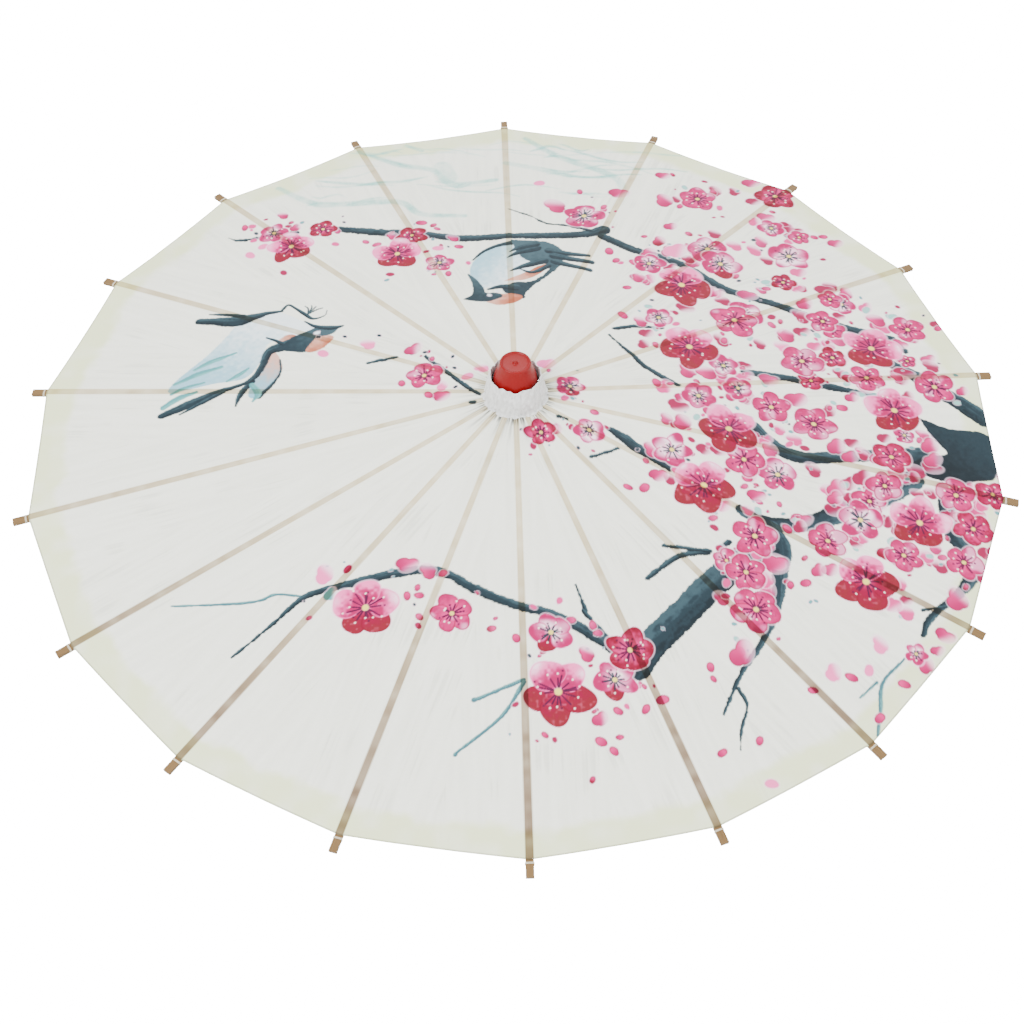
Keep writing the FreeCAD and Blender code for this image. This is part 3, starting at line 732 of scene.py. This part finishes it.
def shade_of_ribs(plan):
    """Painted shade of each rib seen through the paper, in a warm tone, and painted shade in gathers that
    run out from under the collar.

    The painted rib shade is darker at its edges and darkest towards the rim on the near side, and the
    paper's cut edge is dark too.
    """
    reach = (plan.along - HINGE_RADIUS) / (sizes().rib_length / MM)
    half = 0.5 * (sizes().rib_inner + (sizes().rib_outer - sizes().rib_inner) * reach) / MM
    beside = np.abs(plan.lateral)
    # Painted shade of each rib seen through the paper, warm in tone and patchy along the rib.
    strip = 1 - ease(half - 0.5, half + 0.5, beside)
    strip_patchiness = 0.7 + 0.3 * mottle(plan.along + 31 * plan.sector, plan.lateral, 7, 7)
    # Painted shade: darker towards the edges of each rib's strip.
    side = ease(half - 1.3, half - 0.3, beside)
    # Painted shade deepens towards the rim, and most on the near side, towards -y.
    deep = ease(80, 420, plan.along) * (1.6 - 1.35 * ease(-330, 60, plan.y))
    plan.shade *= 1 - (strip * (strip_patchiness + 0.25 * side))[:, None] * np.array((0.15, 0.21, 0.31))
    plan.shade *= 1 - (strip * deep * strip_patchiness)[:, None] * np.array((0.28, 0.32, 0.33))
    plan.shade *= 1 - 0.25 * (1 - ease(0.5, 1.6, plan.rim_gap))[:, None]
    radius = np.hypot(plan.x, plan.y)
    # Painted shade in the gathers that run out from under the collar, fading out by a radius of 60 mm.
    fold = mottle(plan.bearing * 24, radius * 0.02, 1, 5)
    fold = fold * ease(0, 1, mottle(plan.bearing * 60, radius * 0.05, 1, 6))
    fade = 1 - ease(27, 60, radius)
    plan.shade *= 1 - 0.45 * (fold * fade)[:, None]
    # Small dark ticks of painted shade at the feet of the gathers, inside a radius of about 35 mm.
    tick = ease(0.52, 0.72, mottle(plan.bearing * 34, radius * 0.06, 1, 15)) * (1 - ease(27, 35, radius))
    plan.shade *= 1 - 0.6 * tick[:, None]


def print_canopy(plan):
    """Paints the whole plan from the paper up: wet strokes, twigs and branches, the two birds, loose
    petals, blossoms, and last the shade over the ribs.
    """
    dice = np.random.default_rng(sizes().seed)
    tint_of_paper(plan)
    for strength, points in WASHES:
        wash(plan, points, strength)
    mist(plan, dice)
    for points in TWIGS:
        branch(plan, points, "twig", 0.8)
    for points in BRANCHES:
        branch(plan, points)
    trunk = ((345, 15), (370, 5), (405, 0), (405, -45), (385, -55), (370, -60), (345, -55), (330, -45),
             (345, -30), (365, -25), (355, -8))
    patch(plan, trunk, "slate_dark", "slate", 0.8, 1.0, 1.2)
    flying_bird(plan)
    perched_bird(plan)
    strewn_petals(plan, dice)
    for x, y, size, tint in PETALS:
        petal(plan, x, y, size, tint, dice)
    for x, y, size, tint, reds in sorted(BLOSSOMS, key=lambda one: one[2] + 5 * (one[3] == "pink")):
        blossom(plan, x, y, size, tint, dice, reds)
    shade_of_ribs(plan)
    return linear(plan.shade)


# ---------------------------------------------------------------- the canopy

HINGE_RADIUS = math.hypot(HINGE[0], HINGE[1]) / MM
# Blocks of a gore's rows from the crown out: the last row of each, and its columns.
ROW_BLOCKS = ((30, 20), (88, 40), (205, 80), (440, 160))
ROWS = ROW_BLOCKS[-1][0]


def gore_grid():
    """One gore's rows of points and faces, with twice the columns each time the gore has doubled.

    Each point is a share of the way out and a place across, from -1 to 1.
    """
    share = []
    place = []
    quads = []
    triangles = []
    total = 0
    first_row = 0
    for last_row, columns in ROW_BLOCKS:
        rows = np.arange(first_row, last_row + 1)
        out, across = np.meshgrid(rows / ROWS, np.linspace(-1, 1, columns + 1), indexing="ij")
        share.append(out.ravel())
        place.append(across.ravel())
        quads.append(grid_faces(len(rows), columns + 1) + total)
        finished = total + out.size
        if last_row < ROWS:
            start = finished - (columns + 1)
            coarse = start + np.arange(columns)
            fine = finished + 2 * np.arange(columns)
            triangles.append(np.stack([coarse, coarse + 1, fine + 1], axis=1))
            triangles.append(np.stack([coarse, fine + 1, fine], axis=1))
            triangles.append(np.stack([coarse + 1, fine + 2, fine + 1], axis=1))
        total = finished
        first_row = last_row + 1
    return np.concatenate(share), np.concatenate(place), np.vstack(quads), np.vstack(triangles)


def gore_plan(share, place):
    """Where the points lie seen from above, in millimetres along their own rib and beside it.

    The rim is a straight line from rib to rib, so it lies at the paper's radius divided by
    one plus the place across times the squared tangent of half a step.
    """
    wide = math.tan(HALF_STEP)
    rim = sizes().paper_radius / MM / (1 + np.abs(place) * wide * wide)
    start = sizes().paper_start / MM
    along = start + share * (rim - start)
    return along, place * along * wide, (1 - share) * (rim - start)


def gore_height(along, lateral, x, y):
    """Height of the paper in millimetres.

    It falls with the rib's slope, folds down to both sides of the rib so that neighbours meet,
    and hangs between the ribs as a parabola that is deepest half way and grows towards the rim.
    """
    slope = sizes().slope
    fold = math.sin(slope) * math.tan(HALF_STEP)
    beside = np.abs(lateral)
    height = HINGE[2] / MM - (along - HINGE_RADIUS) * math.tan(slope)
    height = height + (sizes().paper_lift / MM - beside * fold) / math.cos(slope)
    half_rib = sizes().rib_outer / MM / 2
    free = np.clip((beside - half_rib) / np.maximum(along * math.tan(HALF_STEP) - half_rib, 0.5), 0, 1)
    growth = along / (sizes().paper_radius / MM)
    height = height - sizes().paper_sag / MM * growth * (1 - (1 - free) ** 2)
    ripple = mottle(x, y, 22, 51) + 0.5 * mottle(x, y, 9, 52) - 0.75
    return height + 0.35 * ripple * free * ease(0.1, 0.4, growth)


def paint_attribute(made, shades):
    layer = made.data.attributes.new("print", "FLOAT_COLOR", "POINT")
    filled = np.ones((len(shades), 4), np.float32)
    filled[:, :3] = shades
    layer.data.foreach_set("color", filled.ravel())


class UMBRELLA_OT_canopy(bpy.types.Operator):
    """Makes the eighteen gores of printed oiled paper, one over each rib"""

    bl_idname = "umbrella.canopy"
    bl_label = "Canopy"

    def execute(self, context):
        share, place, quads, triangles = gore_grid()
        along, lateral, rim_gap = gore_plan(share, place)
        turns = [rib_turn(number) for number in range(RIBS)]
        across, away = np.concatenate([turned(along, lateral, turn) for turn in turns], axis=1)
        plan = Plan(across, away, np.tile(lateral, RIBS), np.tile(along, RIBS), np.tile(rim_gap, RIBS))
        height = gore_height(plan.along, plan.lateral, plan.x, plan.y)
        shades = print_canopy(plan)
        points = np.stack([plan.x, plan.y, height], axis=1) * MM
        paper = oiled_paper()
        count = len(share)
        for number, turn in enumerate(turns):
            own = slice(number * count, (number + 1) * count)
            name = f"{number + 1:02d}"
            made = new_object(f"paper_gore_{name}", points[own], quads[:, ::-1], triangles[:, ::-1])
            paint_attribute(made, shades[own])
            made.data.materials.append(paper)
            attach(made, f"rib_{name}")
            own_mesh(made)
            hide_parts(f"canopy_gore_{name}")
        return {"FINISHED"}


# ---------------------------------------------------------------- crown


def collar_points(steps, columns):
    """Rings of points up the gathered collar's section, with as many steps to each span of it.

    The section runs from a skirt that lies on the canopy, up the outside and over the top edge to
    the inside. Gathers are sums of waves round the ring, strongest at the skirt and the top edge.
    """
    outline = ((27.2, 495.8), (26.3, 496.0), (25.7, 496.7), (25.3, 498.4), (24.9, 503.0), (24.0, 509.0),
               (22.6, 514.5), (21.4, 519.2), (20.9, 520.0), (20.5, 519.4), (20.2, 514.0), (20.6, 507.0))
    section = smooth_line(outline, steps)
    bearing = np.arange(columns) * 2 * math.pi / columns
    radius = section[:, :1]
    height = section[:, 1:]
    up = ease(498, 520, height)
    skirt = 1 - ease(495, 499, height)
    twist = bearing + 0.10 * up
    fine = np.sin(37 * twist + 1.3 * np.sin(5 * bearing)) * (0.5 + 0.5 * np.sin(11 * bearing + 2))
    broad = np.sin(13 * twist + 2 * np.sin(3 * bearing)) + 0.6 * np.sin(23 * bearing - 3 * up)
    crumple = mottle(bearing * 14, height * 0.35, 1, 61) - 0.5
    low = 1 - ease(497, 506, height)
    radius = radius + 0.40 * fine * (0.1 + 0.9 * low) + 0.30 * broad * up + 1.0 * crumple * (1 - skirt)
    radius = radius + skirt * 2.4 * (mottle(bearing * 9, bearing * 0, 1, 62) - 0.5)
    edge = ease(508, 520, height)
    scallop = 1.5 * np.abs(np.sin(4.5 * bearing + 1)) - 0.5
    scallop = scallop + 0.6 * np.sin(5 * bearing) + 0.12 * np.sin(17 * bearing)
    height = height + edge * (scallop + 0.6 * crumple)
    height = height + skirt * 0.3 * (fine + 1)
    return np.stack([radius * np.cos(bearing), radius * np.sin(bearing), height], axis=-1) * MM


def cap_profile():
    """The cap's radius and height: a rounded foot, a waisted side, a dished top and a small button."""
    low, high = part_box("finial_cap")
    foot = low[2] / MM
    top = high[2] / MM - 1
    skirt = [(0.0, foot), (15.2, foot), (18.8, foot), (19.5, foot + 1), (19.3, foot + 6), (18.7, foot + 10)]
    side = [(17.4, top - 15), (14.6, top - 7), (13.3, top - 2.4), (12.9, top - 0.8), (12.4, top - 0.2)]
    dish = [(11.8, top), (11.2, top - 0.3), (10.2, top - 0.9), (7.4, top - 1.2), (3.6, top - 1.3)]
    button = [(2.2, top - 1), (1.3, top + 0.2), (0.6, top + 0.9), (0.0, top + 1)]
    return np.array(skirt + side + dish + button) * MM


class UMBRELLA_OT_crown(bpy.types.Operator):
    """Makes the gathered paper collar and the red cap"""

    bl_idname = "umbrella.crown"
    bl_label = "Crown"

    def execute(self, context):
        columns = 540
        points = collar_points(8, columns)
        faces = grid_faces(len(points), columns, wrap=True)
        collar = new_object("paper_collar", points.reshape(-1, 3), faces)
        collar.data.materials.append(collar_paper())
        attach(collar, "root")
        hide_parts("crown_collar")

        cap = turned_surface("red_cap", cap_profile(), 128)
        cap.data.materials.append(cap_lacquer())
        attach(cap, "root")
        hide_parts("finial_cap")
        return {"FINISHED"}


# ---------------------------------------------------------------- thread


# The thread starts this far past the paper's edge, and its windings lie this many radii apart.
THREAD_GAP = 1.2 * MM
THREAD_PITCH = 2.1


def binding_points(turn, windings, steps, sides):
    """A thread wound round a rib's tip: a tube along a rounded rectangle that also moves outwards.

    Places are first measured along the rib from its hinge, across it, and square to both.
    """
    thick = sizes().thread / 2
    half_wide = sizes().rib_outer / 2 + thick
    half_deep = sizes().rib_thickness / 2 + thick
    angle = np.linspace(0, 2 * math.pi * windings, windings * steps + 1)
    cosine = np.cos(angle)
    sine = np.sin(angle)
    squared = (np.abs(cosine) ** 6 + np.abs(sine) ** 6) ** (-1 / 6)
    edge = (sizes().paper_radius - HINGE_RADIUS * MM) / math.cos(sizes().slope)
    out = edge + THREAD_GAP + angle / (2 * math.pi) * thick * THREAD_PITCH
    middle = np.stack([out, half_wide * squared * cosine, half_deep * squared * sine], axis=1)
    outward = np.stack([0 * angle, cosine, sine], axis=1)
    ahead = np.array((1.0, 0.0, 0.0))
    ring = np.arange(sides)[:, None] * 2 * math.pi / sides
    tube = middle[:, None] + thick * (outward[:, None] * np.cos(ring) + ahead * np.sin(ring))
    along, across, above = tube.reshape(-1, 3).T
    radius, height = turned(along, above, -sizes().slope)
    x, y = turned(HINGE_RADIUS * MM + radius, across, turn)
    return np.stack([x, y, HINGE[2] + height], axis=1), len(angle)


class UMBRELLA_OT_thread(bpy.types.Operator):
    """Winds the binding thread round each rib's tip"""

    bl_idname = "umbrella.thread"
    bl_label = "Thread"

    def execute(self, context):
        finish = thread_finish()
        sides = 6
        for number in range(RIBS):
            name = f"{number + 1:02d}"
            points, rows = binding_points(rib_turn(number), 3, 20, sides)
            made = new_object(f"tip_thread_{name}", points, grid_faces(rows, sides, wrap=True)[:, ::-1])
            made.data.materials.append(finish)
            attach(made, f"rib_{name}")
        return {"FINISHED"}


# ---------------------------------------------------------------- finishes


WHITE = (1, 1, 1)
# The joints of the shaft's bamboo: the first lies this far below the foot, and the rest this far apart.
SHAFT_JOINT_DEPTH = 0.067
SHAFT_JOINT_SPACING = 0.178
RIB_JOINTS_PER_METRE = 7.5


class Finish:
    """A material under construction, with short calls for the nodes that it needs."""

    def __init__(self, name):
        self.material = bpy.data.materials.new(name)
        self.material.use_nodes = True
        self.tree = self.material.node_tree
        self.shader = self.tree.nodes["Principled BSDF"]

    def node(self, kind, inputs=(), **settings):
        made = self.tree.nodes.new(kind)
        for key, setting in settings.items():
            setattr(made, key, setting)
        for socket, source in dict(inputs).items():
            if isinstance(source, bpy.types.NodeSocket):
                self.tree.links.new(source, made.inputs[socket])
            else:
                made.inputs[socket].default_value = source
        return made

    def place(self, scale=(1, 1, 1)):
        """The object's own coordinates, stretched."""
        coordinates = self.node("ShaderNodeTexCoord").outputs["Object"]
        return self.node("ShaderNodeMapping", {"Vector": coordinates, "Scale": scale}).outputs["Vector"]

    def noise(self, where, scale, detail=4.0, roughness=0.55):
        inputs = {"Vector": where, "Scale": scale, "Detail": detail, "Roughness": roughness}
        return self.node("ShaderNodeTexNoise", inputs).outputs["Fac"]

    def maths(self, operation, first, second=0.0, third=0.0):
        inputs = {0: first, 1: second, 2: third}
        return self.node("ShaderNodeMath", inputs, operation=operation).outputs[0]

    def ramp(self, factor, *stops):
        """A colour ramp through stops of position and colour."""
        made = self.node("ShaderNodeValToRGB", {"Fac": factor})
        elements = made.color_ramp.elements
        while len(elements) < len(stops):
            elements.new(0.5)
        for element, (position, shade) in zip(elements, stops):
            element.position = position
            element.color = (*shade, 1)
        return made.outputs["Color"]

    def between(self, factor, low, high):
        inputs = {"Value": factor, "To Min": low, "To Max": high}
        return self.node("ShaderNodeMapRange", inputs).outputs["Result"]

    def blend(self, factor, first, second, kind="MIX"):
        made = self.node("ShaderNodeMix", data_type="RGBA", blend_type=kind)
        for socket, source in ((0, factor), (6, first), (7, second)):
            if isinstance(source, bpy.types.NodeSocket):
                self.tree.links.new(source, made.inputs[socket])
            else:
                made.inputs[socket].default_value = source if socket == 0 else (*source, 1)
        return made.outputs[2]

    def bump(self, height, strength, distance, below=None):
        inputs = {"Height": height, "Strength": strength, "Distance": distance}
        if below is not None:
            inputs["Normal"] = below
        return self.node("ShaderNodeBump", inputs).outputs["Normal"]

    def shade(self, **sockets):
        """Sets the shader's sockets, each named in lower case with underscores."""
        names = {
            "colour": "Base Color",
            "roughness": "Roughness",
            "normal": "Normal",
            "metallic": "Metallic",
            "coat": "Coat Weight",
            "coat_roughness": "Coat Roughness",
            "specular": "Specular IOR Level",
        }
        for key, source in sockets.items():
            socket = self.shader.inputs[names[key]]
            if isinstance(source, bpy.types.NodeSocket):
                self.tree.links.new(source, socket)
            else:
                socket.default_value = source
        return self.material


def darker(shade, share):
    return tuple(part * share for part in shade)


def oiled_paper():
    """Printed paper: its colour is the print, its surface has long fibres and soft crumples."""
    made = Finish("oiled_paper")
    where = made.place()
    fibres = made.noise(where, 900, 5, 0.7)
    long_fibres = made.noise(made.place((1, 7, 3)), 160, 3, 0.6)
    crumple = made.noise(where, 22, 4, 0.5)
    crease = made.noise(made.place((1, 1, 2)), 95, 2, 0.4)
    dye = made.node("ShaderNodeAttribute", attribute_name="print").outputs["Color"]
    speckle = made.ramp(long_fibres, (0.25, (0.93, 0.93, 0.92)), (0.75, WHITE))
    shade = made.blend(0.35, dye, speckle, "MULTIPLY")
    surface = made.bump(crumple, 0.6, 0.0024)
    surface = made.bump(crease, 0.35, 0.0008, surface)
    surface = made.bump(fibres, 0.15, 0.0002, surface)
    gloss = made.between(long_fibres, 0.42, 0.6)
    return made.shade(colour=shade, roughness=gloss, normal=surface, specular=0.1)


def collar_paper():
    """Stiff white paper, crumpled small, with painted shade in its hollows."""
    made = Finish("collar_paper")
    where = made.place()
    crease = made.noise(made.place((1, 1, 0.35)), 420, 4, 0.6)
    fine = made.noise(where, 1500, 3, 0.6)
    base = tuple(colours().collar)
    # Painted shade: greyer where the crease noise, which also drives the bump, is low.
    shade = made.ramp(crease, (0.28, darker(base, 0.72)), (0.6, base))
    surface = made.bump(crease, 0.8, 0.0012)
    surface = made.bump(fine, 0.15, 0.0002, surface)
    return made.shade(colour=shade, roughness=0.62, normal=surface, specular=0.35)


def cap_lacquer():
    """Smooth red plastic with a faint orange peel."""
    made = Finish("cap_lacquer")
    where = made.place()
    cloud = made.noise(where, 60, 3)
    base = tuple(colours().cap)
    shade = made.ramp(cloud, (0.3, darker(base, 0.93)), (0.7, base))
    peel = made.noise(where, 700, 2)
    surface = made.bump(peel, 0.08, 0.0002)
    gloss = made.between(cloud, 0.3, 0.42)
    return made.shade(colour=shade, roughness=gloss, normal=surface, specular=0.22)


def thread_finish():
    """Pale twisted thread."""
    made = Finish("binding_thread")
    twist = made.noise(made.place(), 2600, 2)
    base = tuple(colours().thread)
    shade = made.ramp(twist, (0.3, darker(base, 0.8)), (0.7, base))
    surface = made.bump(twist, 0.3, 0.0002)
    return made.shade(colour=shade, roughness=0.55, normal=surface)


def rib_bamboo():
    """Split bamboo whose grain runs out from the shaft along each rib.

    The grain is noise stretched along the distance from the shaft, and laid across by the
    distance beside the nearest rib line. Each rib has its own joints of the cane.
    """
    made = Finish("split_bamboo")
    split = made.node("ShaderNodeSeparateXYZ", {"Vector": made.place()}).outputs
    level = made.place((1, 1, 0))
    radius = made.node("ShaderNodeVectorMath", {0: level}, operation="LENGTH").outputs["Value"]
    bearing = made.maths("ARCTAN2", split["Y"], split["X"])
    step = made.maths("DIVIDE", made.maths("SUBTRACT", bearing, rib_turn(0)), HALF_STEP * 2)
    number = made.maths("ROUND", step)
    beside = made.maths("MULTIPLY", made.maths("SUBTRACT", step, number), radius)
    own_grain = made.maths("MULTIPLY", number, 0.37)
    lengthwise = made.maths("ADD", made.maths("MULTIPLY", radius, 0.05), own_grain)
    along = {"X": lengthwise, "Y": beside, "Z": split["Z"]}
    where = made.node("ShaderNodeCombineXYZ", along).outputs["Vector"]
    grain = made.noise(where, 420, 4, 0.6)
    blotch = made.noise(where, 40, 3)
    base = tuple(colours().bamboo)
    shade = made.ramp(grain, (0.28, darker(base, 0.62)), (0.45, darker(base, 0.9)), (0.7, base))
    stain = made.ramp(blotch, (0.3, (0.82, 0.78, 0.7)), (0.7, WHITE))
    shade = made.blend(0.5, shade, stain, "MULTIPLY")
    own_joints = made.maths("FRACT", made.maths("MULTIPLY", number, 0.618))
    counted = made.maths("MULTIPLY", radius, RIB_JOINTS_PER_METRE)
    spaced = made.maths("FRACT", made.maths("ADD", counted, own_joints))
    joint = made.maths("ABSOLUTE", made.maths("SUBTRACT", spaced, 0.5))
    ring = made.ramp(joint, (0.0, (0.55, 0.42, 0.27)), (0.012, (0.72, 0.6, 0.42)), (0.03, WHITE))
    shade = made.blend(0.8, shade, ring, "MULTIPLY")
    surface = made.bump(grain, 0.3, 0.0003)
    return made.shade(colour=shade, roughness=made.between(grain, 0.45, 0.65), normal=surface, specular=0.25)


def shaft_bamboo():
    """Whole bamboo with fine lengthwise streaks, darker at its joints, lightly varnished."""
    made = Finish("shaft_bamboo")
    streak = made.noise(made.place((1, 1, 0.02)), 480, 4, 0.6)
    blotch = made.noise(made.place((1, 1, 0.3)), 40, 3)
    base = tuple(colours().shaft)
    shade = made.ramp(streak, (0.28, darker(base, 0.66)), (0.5, darker(base, 0.92)), (0.75, base))
    stain = made.ramp(blotch, (0.3, (0.8, 0.74, 0.66)), (0.7, WHITE))
    shade = made.blend(0.5, shade, stain, "MULTIPLY")
    height = made.node("ShaderNodeSeparateXYZ", {"Vector": made.place()}).outputs["Z"]
    counted = made.maths("DIVIDE", made.maths("ADD", height, SHAFT_JOINT_DEPTH), SHAFT_JOINT_SPACING)
    spaced = made.maths("FRACT", counted)
    joint = made.maths("ABSOLUTE", made.maths("SUBTRACT", spaced, 0.995))
    ring = made.ramp(joint, (0.0, (0.5, 0.36, 0.2)), (0.008, (0.66, 0.52, 0.34)), (0.03, WHITE))
    shade = made.blend(0.85, shade, ring, "MULTIPLY")
    surface = made.bump(streak, 0.15, 0.0003)
    gloss = made.between(streak, 0.3, 0.42)
    return made.shade(colour=shade, roughness=gloss, normal=surface, coat=0.25, coat_roughness=0.25)


def turned_wood():
    """Pale turned wood with rings of growth drawn across by the lathe."""
    made = Finish("turned_wood")
    grain = made.noise(made.place((1, 1, 0.12)), 300, 4, 0.6)
    lathe = made.noise(made.place((0.05, 0.05, 6)), 260, 2)
    base = tuple(colours().wood)
    shade = made.ramp(grain, (0.3, darker(base, 0.6)), (0.5, darker(base, 0.88)), (0.72, base))
    surface = made.bump(grain, 0.2, 0.0003)
    surface = made.bump(lathe, 0.2, 0.0003, surface)
    return made.shade(colour=shade, roughness=made.between(grain, 0.45, 0.6), normal=surface)


def spring_steel():
    """Drawn steel with fine lengthwise scratches."""
    made = Finish("spring_steel")
    scratch = made.noise(made.place((1, 1, 0.03)), 1400, 3)
    shade = made.ramp(scratch, (0.3, (0.36, 0.35, 0.33)), (0.7, (0.62, 0.61, 0.58)))
    surface = made.bump(scratch, 0.15, 0.0001)
    gloss = made.between(scratch, 0.28, 0.45)
    return made.shade(colour=shade, roughness=gloss, normal=surface, metallic=1.0)


class UMBRELLA_OT_bamboo(bpy.types.Operator):
    """Finishes the ribs, stretchers, shaft, notch, runner and catch"""

    bl_idname = "umbrella.bamboo"
    bl_label = "Bamboo and wood"

    def execute(self, context):
        finishes = {"shaft": shaft_bamboo(), "catch": spring_steel()}
        finishes["top_notch"] = finishes["runner"] = turned_wood()
        split = rib_bamboo()
        for name, made in frame["nodes"].items():
            if name.startswith(("rib_", "stretcher_")):
                finish = split
            elif name in finishes:
                finish = finishes[name]
            else:
                continue
            made.data.materials.clear()
            made.data.materials.append(finish)
        return {"FINISHED"}


# ---------------------------------------------------------------- stage


LENS = 80.27
CAMERA_TURN = math.radians(1.42)
CAMERA_RISE = math.radians(49.60)
CAMERA_DISTANCE = 1.9
CAMERA_TARGET = (-0.0046, -0.0732, 0.4316)
FLOOR_HALF = 6.0
WORLD_LIGHT = 1.65
# How strongly the floor shines in the camera's own view, so that it shows as plain white.
FLOOR_GLOW = 16.0
LIGHT_TARGET = (0, 0, 0.45)
# Each light: its name, place, width and power in watts.
LIGHTS = (
    ("key", (-1.6, -1.2, 2.6), 1.6, 110),
    ("fill", (1.8, -0.8, 2.2), 2.0, 45),
    ("back", (0.3, 2.2, 2.4), 2.0, 45),
)


def look_rotation(aim):
    """The turn that points a camera or a light along a direction, with its top upwards."""
    flat = math.hypot(aim[0], aim[1])
    return (math.atan2(flat, -aim[2]), 0.0, math.atan2(-aim[0], aim[1]))


class UMBRELLA_OT_stage(bpy.types.Operator):
    """Makes the white floor, the soft lights and the camera"""

    bl_idname = "umbrella.stage"
    bl_label = "Stage"

    def execute(self, context):
        corners = [(x * FLOOR_HALF, y * FLOOR_HALF, 0) for x, y in ((-1, -1), (1, -1), (1, 1), (-1, 1))]
        floor = new_object("floor", corners, [(0, 1, 2, 3)])
        pale = Finish("floor_white")
        pale.shade(colour=(0.93, 0.93, 0.93, 1), roughness=0.9, specular=0.1)
        seen = pale.node("ShaderNodeLightPath").outputs["Is Camera Ray"]
        glow = pale.maths("MULTIPLY", seen, FLOOR_GLOW)
        pale.shader.inputs["Emission Color"].default_value = (*WHITE, 1)
        pale.tree.links.new(glow, pale.shader.inputs["Emission Strength"])
        clear = pale.node("ShaderNodeBsdfTransparent").outputs["BSDF"]
        behind = pale.node("ShaderNodeNewGeometry").outputs["Backfacing"]
        shown = pale.node("ShaderNodeMixShader", {0: behind, 1: pale.shader.outputs["BSDF"], 2: clear})
        pale.tree.links.new(shown.outputs["Shader"], pale.tree.nodes["Material Output"].inputs["Surface"])
        floor.data.materials.append(pale.material)

        world = bpy.data.worlds.new("studio")
        world.use_nodes = True
        sky = world.node_tree.nodes["Background"]
        sky.inputs["Color"].default_value = (*WHITE, 1)
        sky.inputs["Strength"].default_value = WORLD_LIGHT
        context.scene.world = world
        for name, place, size, power in LIGHTS:
            light = bpy.data.lights.new(name, "AREA")
            light.size = size
            light.energy = power
            made = bpy.data.objects.new(name, light)
            context.scene.collection.objects.link(made)
            made.location = place
            made.rotation_euler = look_rotation(np.array(LIGHT_TARGET) - np.array(place))

        camera = bpy.data.cameras.new("camera")
        camera.sensor_width = 36
        camera.lens = LENS
        camera.clip_end = 50
        viewer = bpy.data.objects.new("camera", camera)
        context.scene.collection.objects.link(viewer)
        level = math.cos(CAMERA_RISE)
        sideways = level * math.sin(CAMERA_TURN)
        ahead = np.array((sideways, level * math.cos(CAMERA_TURN), -math.sin(CAMERA_RISE)))
        viewer.location = np.array(CAMERA_TARGET) - CAMERA_DISTANCE * ahead
        viewer.rotation_euler = look_rotation(ahead)
        context.scene.camera = viewer
        return {"FINISHED"}


class UMBRELLA_PT_panel(bpy.types.Panel):
    """Lists the umbrella's pieces, sizes and colours"""

    bl_idname = "UMBRELLA_PT_panel"
    bl_label = "Oil Paper Umbrella"
    bl_space_type = "VIEW_3D"
    bl_region_type = "UI"
    bl_category = "Umbrella"

    def draw(self, context):
        layout = self.layout
        for operator in OPERATORS:
            layout.operator(operator.bl_idname)
        for settings in (sizes(), colours()):
            box = layout.box()
            for name in settings.__annotations__:
                box.prop(settings, name)


OPERATORS = (
    UMBRELLA_OT_canopy,
    UMBRELLA_OT_crown,
    UMBRELLA_OT_thread,
    UMBRELLA_OT_bamboo,
    UMBRELLA_OT_stage,
)
CLASSES = (UmbrellaSizes, UmbrellaColours, *OPERATORS, UMBRELLA_PT_panel)


def register():
    for item in CLASSES:
        bpy.utils.register_class(item)
    bpy.types.Scene.umbrella_sizes = PointerProperty(type=UmbrellaSizes)
    bpy.types.Scene.umbrella_colours = PointerProperty(type=UmbrellaColours)


def unregister():
    del bpy.types.Scene.umbrella_sizes
    del bpy.types.Scene.umbrella_colours
    for item in reversed(CLASSES):
        bpy.utils.unregister_class(item)


def main():
    register()
    bpy.ops.umbrella.canopy()
    bpy.ops.umbrella.crown()
    bpy.ops.umbrella.thread()
    bpy.ops.umbrella.bamboo()
    bpy.ops.umbrella.stage()


if __name__ == "__main__":
    main()
